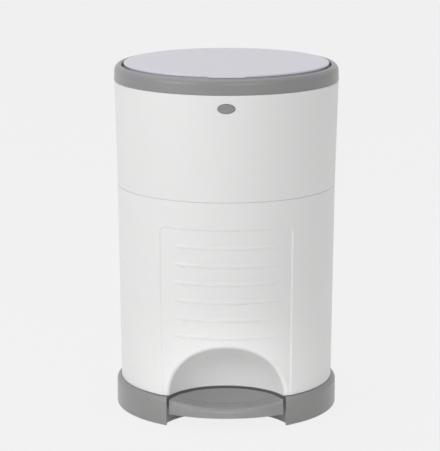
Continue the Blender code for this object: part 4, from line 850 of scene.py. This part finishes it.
def add_tub_knuckles(shell):
    """The two knuckles at the back that the lid ring tips on, with their webs."""
    tub = settings().tub
    inner, outer, web = 0.0246, 0.0420, 0.016
    wall = math.sqrt(tub.rim_radius**2 - 0.034**2) - tub.wall / 2
    nose = arc(RING_HINGE, KNUCKLE_RADIUS, -25.0, 150.0, 14)
    outline = [(wall, tub.rim_height - web), *nose, (wall, tub.rim_height - KNUCKLE_RADIUS)]
    for side in (-1, 1):
        shell.bar(outline, *sorted((side * inner, side * outer)))


# ---------------------------------------------------------------- base and pedal


def base_outline(radius, grow, height):
    """Plan of the base at a height: a round with a bite for the pedal, the bite made wider by a growth."""
    base, door = settings().base, settings().door
    centre = -door.scoop_centre
    half, back_radius = base.bite_half + grow, base.bite_radius + grow
    mouth = math.degrees(math.asin(half / radius))
    back_reach = math.degrees(math.acos(half / back_radius))
    front = -radius * math.cos(math.radians(mouth))
    side_back = centre + back_radius * math.sin(math.radians(back_reach))
    side_front = front + base.corner
    trim = math.degrees(base.corner / radius)
    around = polar(radius, np.linspace(mouth + trim, FULL_TURN - mouth - trim, 200), 0.0)[:, :2]
    share = np.linspace(0.0, 1.0, 9)[1:-1, None]
    left_corner = curve(around[-1], np.array([-half, front]), np.array([-half, side_front]), share)
    right_corner = curve(around[0], np.array([half, front]), np.array([half, side_front]), share)[::-1]
    left_side = np.column_stack([np.full(5, -half), np.linspace(side_front, side_back, 5)])
    right_side = left_side[::-1] * [-1.0, 1.0]
    back = arc((0.0, centre), back_radius, 180.0 - back_reach, back_reach, 60)[1:-1]
    return at_height(np.concatenate([around, left_corner, left_side, back, right_side, right_corner]), height)


def build_base():
    """The base: a rounded foot ring and floor, open at the front, with bosses and brackets under it."""
    tub, base = settings().tub, settings().base
    top = tub.base_top
    foot_stretch, fillet = 1.6, 0.003
    rows = []
    for turn in np.radians(np.linspace(0.0, 90.0, 5)):
        inset = base.foot_round * (1.0 - math.sin(turn))
        height = base.foot + base.foot_round * foot_stretch * (1.0 - math.cos(turn))
        rows.append(base_outline(base.radius - inset, inset / 2, height))
    for turn in np.radians(np.linspace(0.0, 90.0, 15)):
        across, down = base.shoulder * (1.0 - math.cos(turn)), base.shoulder * (1.0 - math.sin(turn))
        rows.append(base_outline(base.radius - across, soft_edge(down, base.bite_edge), top - down))
    skin = Casting()
    outer = skin.grid(np.array(rows), wrap_columns=True)
    skin.cap(outer[-1])
    ceiling = top - base.deck
    inner = skin.grid(np.array([
        base_outline(base.radius - base.wall - inset, base.toe_wall + inset / 2, height)
        for inset, height in ((0.0, base.foot), (0.0, ceiling - fillet), (fillet, ceiling))
    ]), wrap_columns=True)
    skin.cap(inner[-1])
    skin.join(outer[0], inner[0])
    add_base_fittings(skin)
    skin.cast("base_skin", "tub", "grey_plastic", "base")


def add_base_fittings(skin):
    """The foot bosses, the axle's brackets and the rod's guide."""
    tub, base, lid = settings().tub, settings().base, settings().lid
    deep = tub.base_top - base.deck / 2
    boss_place, boss_radius = 0.125, 0.009
    for azimuth in (-52.0, 52.0, -142.0, 142.0):
        skin.round_bar(polar(boss_place, azimuth, 0.0), boss_radius, base.foot, deep, "Z", 32)
    bracket_inner, bracket_outer, bracket_half, bracket_drop = 0.042, 0.047, 0.009, 0.0068
    for side in (-1, 1):
        near, far = sorted((side * bracket_inner, side * bracket_outer))
        skin.block((near, base.axle_y - bracket_half, base.axle_z - bracket_drop),
                   (far, base.axle_y + bracket_half, deep))
    guide_radius, guide_bore, guide_height, bevel = 0.0054, 0.0032, 0.012, 0.0004
    outer, inner = (circle((0.0, lid.rod_y), radius, 32) for radius in (guide_radius, guide_bore))
    high = tub.base_top + guide_height
    eased_rim = outer * 0.98 + inner * 0.02
    loops = ((outer, deep), (outer, high - bevel), (eased_rim, high), (inner, high), (inner, deep))
    rows = np.array([at_height(loop, height) for loop, height in loops])
    skin.grid(rows, wrap_rows=True, wrap_columns=True)


def pedal_rows(x, inset):
    """One cut through the pedal's pad: front face, rounded nose, dished top with grip grooves, round back."""
    base, pedal, door = settings().base, settings().pedal, settings().door
    bevel, least_depth, dish, groove_width = 0.0006, 0.0006, 0.0009, 0.0013
    near = -math.sqrt(base.radius**2 - x**2) + inset
    far = -door.scoop_centre + math.sqrt(max(pedal.rear_radius**2 - x**2, 0.0)) - inset
    far = max(far, near + least_depth)
    across = (x / pedal.half_width) ** 2
    nose = pedal.front_middle + (pedal.front_corner - pedal.front_middle) * across - inset
    back = pedal.rear_top + (pedal.front_corner - pedal.rear_top) * across - inset
    bend = min(pedal.edge, (far - near) / 2)
    back_bend = bend / 3
    rows = [(near + min(bevel, bend / 4), pedal.underside), (near, pedal.underside + 0.0008)]
    rows.extend(arc((near + bend, nose - bend), bend, 180.0, 90.0, 8))
    for share in np.linspace(0.0, 1.0, 42)[1:-1]:
        y = near + bend + (far - back_bend - near - bend) * share
        z = nose + (back - nose) * (y - near) / (far - near)
        z -= dish * math.sin(math.pi * share) * (1.0 - across)
        if inset == 0.0:
            for groove in (0.0085, 0.0145, 0.0205):
                hollow = math.exp(-(((y - near - groove) / groove_width) ** 2))
                z -= pedal.groove_depth * hollow * (1.0 - across**2)
        rows.append((y, z))
    rows.extend(arc((far - back_bend, back - back_bend), back_bend, 90.0, 0.0, 4))
    rows += [(far, pedal.underside + bevel), (far - min(bevel, bend / 4), pedal.underside)]
    return [(x, y, z) for y, z in rows]


def build_pedal():
    """The pedal: a hollow grey foot pad with two arms that end in hubs on the axle."""
    base, pedal, door = settings().base, settings().pedal, settings().door
    stations = pedal.half_width * np.sin(np.linspace(-math.pi / 2, math.pi / 2, 71))
    skin = Casting()
    outer = skin.grid(np.array([pedal_rows(x, 0.0) for x in stations]))
    skin.cap(outer[0])
    skin.cap(outer[-1][::-1])
    hollow_half, lip = 0.058, 0.0002
    under = []
    for x in np.clip(stations, -hollow_half, hollow_half):
        rows = np.array(pedal_rows(x, pedal.wall))
        rows[0][2] = rows[-1][2] = pedal.underside
        rows[1][2] = rows[-2][2] = pedal.underside + lip
        under.append(rows)
    inner = skin.grid(np.array(under))
    ends = [0, -1]
    for side in ((slice(None), 0), (slice(None), -1), (0, ends), (-1, ends)):
        skin.join(outer[side], inner[side], wrap=False)
    skin.cap(inner[0])
    skin.cap(inner[-1])
    arm_place, arm_half_width, arm_half_height, arm_end, hub_radius = 0.034, 0.005, 0.0055, 0.016, 0.0068
    pad_back = math.sqrt(pedal.rear_radius**2 - (arm_place + arm_half_width) ** 2)
    start = -door.scoop_centre + pad_back - pedal.wall
    for side in (-1, 1):
        left, right = side * arm_place - arm_half_width, side * arm_place + arm_half_width
        skin.block((left, start, base.axle_z - arm_half_height),
                   (right, base.axle_y + arm_end, base.axle_z + arm_half_height), 0.0008)
        skin.round_bar((base.axle_y, base.axle_z), hub_radius, left - 0.00005, right + 0.00005, "X", 36)
    skin.cast("pedal_skin", "pedal", "grey_plastic", "pedal")


# ---------------------------------------------------------------- lid ring, lid and button


def build_ring():
    """The grey ring: rounded outside, with its ledge, spigot, hinge parts and strike tab."""
    tub, ring = settings().tub, settings().ring
    ledge, bead = ring.ledge, ring.bead
    spigot_foot = 0.4380
    spigot_out = tub.rim_radius - tub.wall - 0.0010
    spigot_in = spigot_out - tub.wall
    crown = (ring.radius - bead - ring.rounding, ring.top - ring.rounding)
    side = eased([
        (spigot_out, ring.foot, 0.0),
        (ring.radius, ring.foot, 0.0007),
        (ring.radius, ring.foot + ring.bead_height, 0.0005),
        (ring.radius - bead, ring.foot + ring.bead_height + bead, 0.0004),
        (ring.radius - bead, crown[1], 0.0),
    ])
    mouth_side = eased([
        (crown[0], ring.top, 0.0),
        (ring.mouth, ring.top - ring.lip, ring.lip),
        (ring.mouth, ledge + 0.0004, 0.0),
    ])
    profile = np.concatenate([
        side[:-1], arc(crown, ring.rounding, 0.0, 90.0, 16), mouth_side[1:],
        [(ring.mouth, ledge), (ring.bore, ledge), (ring.bore, ledge - tub.wall),
         (spigot_in, ledge - tub.wall), (spigot_in, spigot_foot), (spigot_out, spigot_foot)],
    ])
    half, slope = math.degrees(ring.relief_half), 0.6
    pocket = math.degrees(math.asin(0.032 / ring.mouth))

    def reshape(radius, height, turn):
        """Steps the mouth back at the lid's hinge, with a pocket, and lifts the top toward the back."""
        behind = np.abs(np.abs(turn) - 180.0)
        mouth = ring.mouth + ring.relief * (1.0 - smooth_step(behind, half - slope, half))
        upper = (height > ledge + 0.0003) & (radius < mouth) & (radius > ring.bore + 0.0005)
        past_crown = (mouth - crown[0]).clip(0)
        on_arc = crown[1] + np.sqrt(np.clip(ring.rounding**2 - past_crown**2, 0.0, None))
        height = np.where(upper & (height > ring.top - 0.003), np.minimum(height, on_arc), height)
        radius = np.where(upper, mouth, radius)
        sunk = (behind < pocket) & (radius < ring.mouth - 0.0005) & (height > ledge - 2 * tub.wall)
        radius = np.where(sunk, ring.mouth - 0.0002, radius)
        roll = np.clip((height - crown[1]) / ring.rounding, 0.0, 1.0)
        height = height + ring.back_rise * roll * (1.0 - np.cos(np.radians(turn))) / 2
        return radius, height

    steps = (pocket - 0.02, pocket + 0.02, half - slope, half - slope * 2 / 3, half - slope / 3, half)
    azimuths = sorted({*np.linspace(-180.0, 180.0, tub.steps, endpoint=False).round(4),
                       *(round(side * (180.0 - place), 4) for place in steps for side in (-1, 1))})
    casting = Casting()
    casting.turned(profile, np.array(azimuths), True, reshape)
    add_ring_fittings(casting)
    casting.cast("ring_skin", "lid_ring", "grey_plastic", "top_ring", 35.0)


def add_ring_fittings(casting):
    """The lugs of the lid's hinge, the knuckle that the ring tips on and the latch's strike tab."""
    tub, ring, lid = settings().tub, settings().ring, settings().lid
    lug_inner, lug_outer, lug_radius = 0.0323, 0.0373, 0.0026
    lug_foot = ring.ledge - 0.001
    lug = [(lid.hinge_y + lug_radius, lug_foot),
           *arc((lid.hinge_y, lid.hinge_z), lug_radius, -10.0, 190.0, 14),
           (lid.hinge_y - lug_radius, lug_foot)]
    for side in (-1, 1):
        casting.bar(lug, *sorted((side * lug_inner, side * lug_outer)), 0.0002)
    knuckle_half, web_foot = 0.024, 0.0004
    wall = ring.radius - tub.wall
    knuckle = arc(RING_HINGE, KNUCKLE_RADIUS, -70.0, 90.0, 12)
    casting.bar([(wall, RING_HINGE[1] + web_foot), *knuckle, (wall, RING_HINGE[1] + KNUCKLE_RADIUS)],
                -knuckle_half, knuckle_half)
    # The strike tab's plate, its root on the spigot and its lip.
    for low, high in (
        ((-0.008, -0.1406, 0.4254), (0.008, -0.1386, 0.4416)),
        ((-0.0077, -0.1445, 0.4383), (0.0077, -0.1389, 0.4413)),
        ((-0.0077, -0.1396, 0.4257), (0.0077, -0.1373, 0.4274)),
    ):
        casting.block(low, high)


def cam_outline():
    """The cam's edge in (y, z): an involute that the rod's top follows at an even rate."""
    lid = settings().lid
    ahead = lid.rod_y - lid.hinge_y
    clearance, lead, tail, root_step = 0.0008, 0.0025, 0.005, 0.0008
    points = []
    for share in np.linspace(0.0, 1.0, 29):
        turn = lid.opening * share
        rise = clearance + lid.rod_travel * share
        along = ahead * math.cos(turn) - rise * math.sin(turn)
        up = ahead * math.sin(turn) + rise * math.cos(turn)
        points.append((lid.hinge_y + along, lid.hinge_z + up))
    root = lid.crown - lid.thickness + root_step
    first, last = points[0], points[-1]
    return [(first[0] + lead, root), (first[0] + lead, first[1]), *points,
            (last[0] - lead, last[1]), (last[0] - tail, root)]


def build_lid():
    """The lid: a barely crowned disc with a rolled edge, a finger notch, knuckles and the cam."""
    tub, lid = settings().tub, settings().lid
    flat, shoulder = lid.radius - 0.0034, lid.edge_top + 0.0008
    under_rim, rim_foot, soft = lid.edge_top - 0.0021, lid.edge_top - 0.0018, 0.0004
    shares = np.linspace(0.0, 1.0, 26)[:-1]
    top = np.column_stack([flat * shares, lid.crown - (lid.crown - shoulder) * shares**4])
    rolled = eased([
        (flat, shoulder, 0.0006),
        (lid.radius - 0.0008, lid.edge_top + 0.0003, 0.0012),
        (lid.radius, rim_foot, 0.0007),
        (lid.radius - lid.undercut, under_rim, 0.0005),
        (lid.radius - lid.undercut, lid.edge_foot, soft),
        (lid.radius - lid.skirt, lid.edge_foot, soft),
        (lid.radius - lid.skirt, shoulder - lid.thickness, soft),
        (0.0, lid.crown - lid.thickness, 0.0),
    ])
    notch_ease, notch_inner, notch_outer, notch_floor = 0.005, 0.0075, 0.0015, 0.0024

    def reshape(radius, height, turn):
        """Presses the finger notch into the front of the rim."""
        side = radius * np.sin(np.radians(turn))
        front = np.cos(np.radians(turn)) > 0
        along = 1.0 - smooth_step(np.abs(side), lid.notch_half - notch_ease, lid.notch_half)
        near_edge = smooth_step(radius, lid.radius - notch_inner, lid.radius - notch_outer) * front
        upper = height > lid.edge_top - notch_floor
        return radius, height - np.where(upper, lid.notch_depth * along * near_edge, 0.0)

    fine = 12.0
    azimuths = np.concatenate([
        np.linspace(-fine, fine, 33), np.linspace(fine, FULL_TURN - fine, tub.steps - 12)[1:-1]
    ])
    casting = Casting()
    casting.turned(np.concatenate([top, rolled]), azimuths, True, reshape)
    knuckle_place, knuckle_half, knuckle_radius, cam_half = 0.025, 0.006, 0.0034, 0.003
    for side in (-1, 1):
        near, far = side * knuckle_place - knuckle_half, side * knuckle_place + knuckle_half
        casting.round_bar((lid.hinge_y, lid.hinge_z), knuckle_radius, near, far)
    casting.bar(cam_outline(), -cam_half, cam_half, 0.0003)
    casting.cast("lid_skin", "lid", "lid_plastic", "lid")


def build_button():
    """The oval release button: a dished cap with a rounded rim and its flange behind the wall."""
    tub, button = settings().tub, settings().button
    wall = -upper_radius(button.height)
    front = wall - button.proud
    turns = np.linspace(0.0, math.tau, 73)[:-1]
    wide, tall = button.half_width, button.half_height
    rim, dish = button.rim, button.dish
    # Each stage from the back to the middle: how far in from the outline, and how deep behind the front.
    stages = (
        (-0.00005, 0.0052 - button.proud), (0.0, 0.0048), (0.0, 0.0012), (0.0001, 0.0007), (0.00035, 0.0003),
        (0.0007, 0.00008), (rim * 0.45, 0.0), (rim * 0.75, 0.0001), (rim * 0.95, 0.00035),
        (rim * 1.2, dish * 0.85), (rim * 1.6, dish),
    )
    rows = []
    for inset, sunk in stages:
        x = (wide - inset) * np.cos(turns)
        z = button.height + (tall - inset) * np.sin(turns)
        follow = -np.sqrt(upper_radius(z) ** 2 - x**2) - wall
        rows.append(np.column_stack([x, front + sunk + follow, z]))
    casting = Casting()
    index = casting.grid(np.array(rows), wrap_columns=True)
    casting.cap(index[-1])
    casting.cap(index[0][::-1])
    flange_width, flange_gap, flange_depth = 0.0018, 0.0008, 0.0014
    flange = circle((0.0, 0.0), 1.0, 48) * [wide + flange_width, tall + flange_width] + [0.0, button.height]
    start = wall + tub.wall + flange_gap
    casting.bar(flange, start, start + flange_depth, 0.0003, "Y")
    casting.cast("button_skin", "button", "grey_plastic", "release_button")


def build_spring():
    """The coil that pushes the latch forward, built at the length of its solid; the real one closes up as the
    button goes in.
    """
    button = settings().button
    low, high = (np.array(corner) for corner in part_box("button_spring"))
    middle, span = (low + high) / 2, high[1] - low[1]
    wire = button.spring_wire
    turns = np.linspace(0.0, button.spring_turns * math.tau, button.spring_turns * 24 + 1)[:, None]
    round_wire = np.linspace(0.0, math.tau, 11)[None, :-1]
    out = (high[0] - low[0]) / 2 - wire + wire * np.cos(round_wire)
    along = low[1] + wire + (span - 2 * wire) * turns / turns[-1] + wire * np.sin(round_wire)
    casting = Casting()
    casting.drum(np.stack([middle[0] + out * np.cos(turns), along, middle[2] + out * np.sin(turns)], axis=-1))
    spring = casting.cast("latch_coil", "tub", "steel", "button_spring")
    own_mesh(spring)


# ---------------------------------------------------------------- what keeps its solid


def smoothing():
    """A node group that welds a solid's faces and shades its round stretches smooth."""
    group = bpy.data.node_groups.new("smooth solid", "GeometryNodeTree")
    for way in ("INPUT", "OUTPUT"):
        group.interface.new_socket("Geometry", in_out=way, socket_type="NodeSocketGeometry")
    nodes, links = group.nodes, group.links
    bare = nodes.new("GeometryNodeRemoveAttribute")
    bare.inputs["Name"].default_value = "custom_normal"
    weld = nodes.new("GeometryNodeMergeByDistance")
    weld.inputs["Distance"].default_value = WELD
    faces = nodes.new("GeometryNodeSetShadeSmooth")
    edges = nodes.new("GeometryNodeSetShadeSmooth")
    edges.domain = "EDGE"
    steps = (nodes.new("NodeGroupInput"), bare, weld, faces, edges, nodes.new("NodeGroupOutput"))
    for before, after in zip(steps, steps[1:]):
        links.new(before.outputs[0], after.inputs[0])
    compare = nodes.new("FunctionNodeCompare")
    compare.data_type = "FLOAT"
    compare.operation = "LESS_THAN"
    compare.inputs["B"].default_value = math.radians(32.0)
    bend = nodes.new("GeometryNodeInputMeshEdgeAngle")
    links.new(bend.outputs["Unsigned Angle"], compare.inputs["A"])
    links.new(compare.outputs["Result"], edges.inputs["Shade Smooth"])
    return group


KEPT_NODES = {
    "grey_plastic": ["cutter_holder"],
    "inner_plastic": [
        "rod_cover", "cassette_shelf", "refill_cassette", "latch_housing", "latch_slide", "door_catch",
        "funnel", "trap_flap_left", "trap_flap_right",
    ],
    "rubber_foot": ["foot_front_left", "foot_front_right", "foot_rear_left", "foot_rear_right", "lid_seal"],
    "steel": [
        "pedal_axle", "pedal_lever", "push_rod", "cutter_blade", "ring_hinge_pin",
        "lid_hinge_pin", "flap_pin_left", "flap_pin_right",
    ],
}


def finish_kept_nodes():
    """Gives the inner solids their finishes and smooth shading."""
    group = smoothing()
    for slot, names in KEPT_NODES.items():
        for name in names:
            node = NODES[name]
            for place in node.material_slots:
                place.material = surface(slot)
            node.modifiers.new("smooth", "NODES").node_group = group


# ---------------------------------------------------------------- studio


def build_studio():
    """A pale seamless floor, soft lamps and the camera."""
    studio = settings().studio
    scene = bpy.context.scene
    scene.view_settings.view_transform = "Standard"
    build_floor(studio)
    build_world(studio)
    add_lamp("key soft box", (-2.0, -1.5, 1.2), (0.0, 0.0, 0.22), (1.7, 1.8), studio.key_power)
    add_lamp("fill soft box", (0.75, -2.2, 1.2), (0.0, 0.0, 0.2), (1.6, 1.0), studio.fill_power)
    add_lamp("low soft box", (0.0, -0.78, 0.05), (0.01, -0.08, 0.055), (0.2, 0.08), studio.low_power, 20.0)
    add_lamp("top soft box", (-0.3, 0.3, 2.0), (0.0, 0.0, 0.4), (1.6, 1.6), studio.top_power)
    lens = bpy.data.cameras.new("camera")
    lens.lens = studio.lens
    lens.sensor_width = 36.0
    lens.clip_start, lens.clip_end = 0.05, 60.0
    camera = bpy.data.objects.new("camera", lens)
    camera.location = (0.0, -studio.camera_distance, studio.camera_height)
    camera.rotation_euler = (math.pi / 2 - studio.camera_pitch, 0.0, studio.camera_yaw)
    scene.collection.objects.link(camera)
    scene.camera = camera


def add_lamp(name, place, target, size, power, spread=180.0):
    """A rectangular soft box that faces a target, with a grid where its spread in degrees is narrow."""
    lamp = bpy.data.lights.new(name, "AREA")
    lamp.shape = "RECTANGLE"
    lamp.size, lamp.size_y = size
    lamp.energy = power
    lamp.spread = math.radians(spread)
    made = bpy.data.objects.new(name, lamp)
    made.location = place
    x, y, z = np.array(target) - np.array(place)
    made.rotation_euler = (math.pi / 2 + math.atan2(z, math.hypot(x, y)), 0.0, math.atan2(-x, y))
    made.visible_camera = False
    bpy.context.scene.collection.objects.link(made)


def build_floor(studio):
    """A floor that runs up into a backdrop in one curve."""
    front, back, high, wide, bend = -40.0, 12.0, 20.0, 30.0, 3.0
    flat = [(y, 0.0) for y in (front, *np.linspace(-bend, back - bend, 12))]
    rows = [*flat, *arc((back - bend, bend), bend, -90.0, 0.0, 20)[1:], (back, high)]
    casting = Casting()
    casting.grid(np.array([[(x, y, z) for x in np.linspace(-wide, wide, 19)] for y, z in rows]))
    data = bpy.data.meshes.new("studio_floor")
    data.from_pydata(casting.points, [], [tuple(int(i) for i in face) for face in casting.faces])
    data.shade_smooth()
    floor = bpy.data.objects.new("studio_floor", data)
    bpy.context.scene.collection.objects.link(floor)
    data.materials.append(floor_material(studio))


def seen_directly(nodes, links):
    """1 for what the camera sees, also in a reflection or through something clear, and 0 for plain light."""
    path = nodes.new("ShaderNodeLightPath")
    seen = path.outputs["Is Camera Ray"]
    for kind in ("Is Glossy Ray", "Is Transmission Ray"):
        either = nodes.new("ShaderNodeMath")
        either.operation = "MAXIMUM"
        links.new(seen, either.inputs[0])
        links.new(path.outputs[kind], either.inputs[1])
        seen = either.outputs[0]
    return seen


def mix_shaders(tree, share, first, second, output):
    """Sends a mix of two shaders to an output node."""
    mix = tree.nodes.new("ShaderNodeMixShader")
    for source, socket in ((share, 0), (first.outputs[0], 1), (second.outputs[0], 2)):
        tree.links.new(source, mix.inputs[socket])
    tree.links.new(mix.outputs[0], tree.nodes[output].inputs["Surface"])


def floor_material(studio):
    """A matt floor with the backdrop's tone for the camera, where the bin's shadow still shows a little."""
    made = bpy.data.materials.new("studio floor")
    made.use_nodes = True
    tree = made.node_tree
    shader = tree.nodes["Principled BSDF"]
    shader.inputs["Base Color"].default_value = (*studio.floor, 1.0)
    shader.inputs["Roughness"].default_value = 0.9
    shader.inputs["Specular IOR Level"].default_value = 0.0
    glow = tree.nodes.new("ShaderNodeEmission")
    glow.inputs["Color"].default_value = (*studio.backdrop, 1.0)
    glow.inputs["Strength"].default_value = 1.0
    share = tree.nodes.new("ShaderNodeMath")
    share.operation = "MULTIPLY"
    share.inputs[1].default_value = 0.95
    tree.links.new(seen_directly(tree.nodes, tree.links), share.inputs[0])
    mix_shaders(tree, share.outputs[0], shader, glow, "Material Output")
    return made


def build_world(studio):
    """Even light from all round, and the backdrop's tone for the camera and reflections."""
    world = bpy.data.worlds.new("studio")
    bpy.context.scene.world = world
    world.use_nodes = True
    tree = world.node_tree
    around = tree.nodes["Background"]
    around.inputs["Color"].default_value = (1.0, 0.995, 0.99, 1.0)
    around.inputs["Strength"].default_value = studio.world
    behind = tree.nodes.new("ShaderNodeBackground")
    behind.inputs["Color"].default_value = (*studio.backdrop, 1.0)
    behind.inputs["Strength"].default_value = 1.0
    mix_shaders(tree, seen_directly(tree.nodes, tree.links), around, behind, "World Output")


# ---------------------------------------------------------------- operators and panel


class NAPPYBIN_OT_tub_shells(Operator):
    """Builds the rear and upper shells of the tub"""

    bl_idname = "nappybin.tub_shells"
    bl_label = "Tub Shells"

    def execute(self, context):
        build_rear_shell()
        build_upper_shell()
        return {"FINISHED"}


class NAPPYBIN_OT_front_door(Operator):
    """Builds the emptying door with its panel, ribs and toe scoop"""

    bl_idname = "nappybin.front_door"
    bl_label = "Front Door"

    def execute(self, context):
        build_door()
        return {"FINISHED"}


class NAPPYBIN_OT_base(Operator):
    """Builds the grey base"""

    bl_idname = "nappybin.base"
    bl_label = "Base"

    def execute(self, context):
        build_base()
        return {"FINISHED"}


class NAPPYBIN_OT_pedal(Operator):
    """Builds the foot pedal"""

    bl_idname = "nappybin.pedal"
    bl_label = "Pedal"

    def execute(self, context):
        build_pedal()
        return {"FINISHED"}


class NAPPYBIN_OT_lid_ring(Operator):
    """Builds the grey ring round the lid"""

    bl_idname = "nappybin.lid_ring"
    bl_label = "Lid Ring"

    def execute(self, context):
        build_ring()
        return {"FINISHED"}


class NAPPYBIN_OT_lid(Operator):
    """Builds the lid with its cam"""

    bl_idname = "nappybin.lid"
    bl_label = "Lid"

    def execute(self, context):
        build_lid()
        return {"FINISHED"}


class NAPPYBIN_OT_button(Operator):
    """Builds the oval release button and its latch spring"""

    bl_idname = "nappybin.button"
    bl_label = "Release Button"

    def execute(self, context):
        build_button()
        build_spring()
        return {"FINISHED"}


class NAPPYBIN_OT_fittings(Operator):
    """Finishes the solids that keep their shape"""

    bl_idname = "nappybin.fittings"
    bl_label = "Inner Fittings"

    def execute(self, context):
        finish_kept_nodes()
        return {"FINISHED"}


class NAPPYBIN_OT_studio(Operator):
    """Sets the floor, the lamps and the camera"""

    bl_idname = "nappybin.studio"
    bl_label = "Studio"

    def execute(self, context):
        build_studio()
        return {"FINISHED"}


OPERATORS = (
    NAPPYBIN_OT_tub_shells, NAPPYBIN_OT_front_door, NAPPYBIN_OT_base, NAPPYBIN_OT_pedal, NAPPYBIN_OT_lid_ring,
    NAPPYBIN_OT_lid, NAPPYBIN_OT_button, NAPPYBIN_OT_fittings, NAPPYBIN_OT_studio,
)


class NAPPYBIN_PT_sidebar(Panel):
    """The sidebar's list of pieces and settings."""

    bl_idname = "NAPPYBIN_PT_sidebar"
    bl_label = "Nappy Bin"
    bl_space_type = "VIEW_3D"
    bl_region_type = "UI"
    bl_category = "Nappy Bin"

    def draw(self, context):
        layout = self.layout
        for item in OPERATORS:
            layout.operator(item.bl_idname)
        for name in BinSettings.__annotations__:
            group = getattr(context.scene.nappy_bin, name)
            box = layout.box()
            box.label(text=name.title())
            for size in type(group).__annotations__:
                box.prop(group, size)


CLASSES = (
    TubSizes, DoorSizes, BaseSizes, PedalSizes, RingSizes, LidSizes, ButtonSizes, Finishes, StudioSettings,
    BinSettings, *OPERATORS, NAPPYBIN_PT_sidebar,
)


def register():
    """Makes the settings, the operators and the panel known to Blender."""
    for item in CLASSES:
        bpy.utils.register_class(item)
    bpy.types.Scene.nappy_bin = PointerProperty(type=BinSettings)


def unregister():
    """Takes them back out."""
    del bpy.types.Scene.nappy_bin
    for item in reversed(CLASSES):
        bpy.utils.unregister_class(item)


def main():
    """Builds every piece and the studio."""
    register()
    bpy.ops.nappybin.tub_shells()
    bpy.ops.nappybin.front_door()
    bpy.ops.nappybin.base()
    bpy.ops.nappybin.pedal()
    bpy.ops.nappybin.lid_ring()
    bpy.ops.nappybin.lid()
    bpy.ops.nappybin.button()
    bpy.ops.nappybin.fittings()
    bpy.ops.nappybin.studio()


if __name__ == "__main__":
    main()
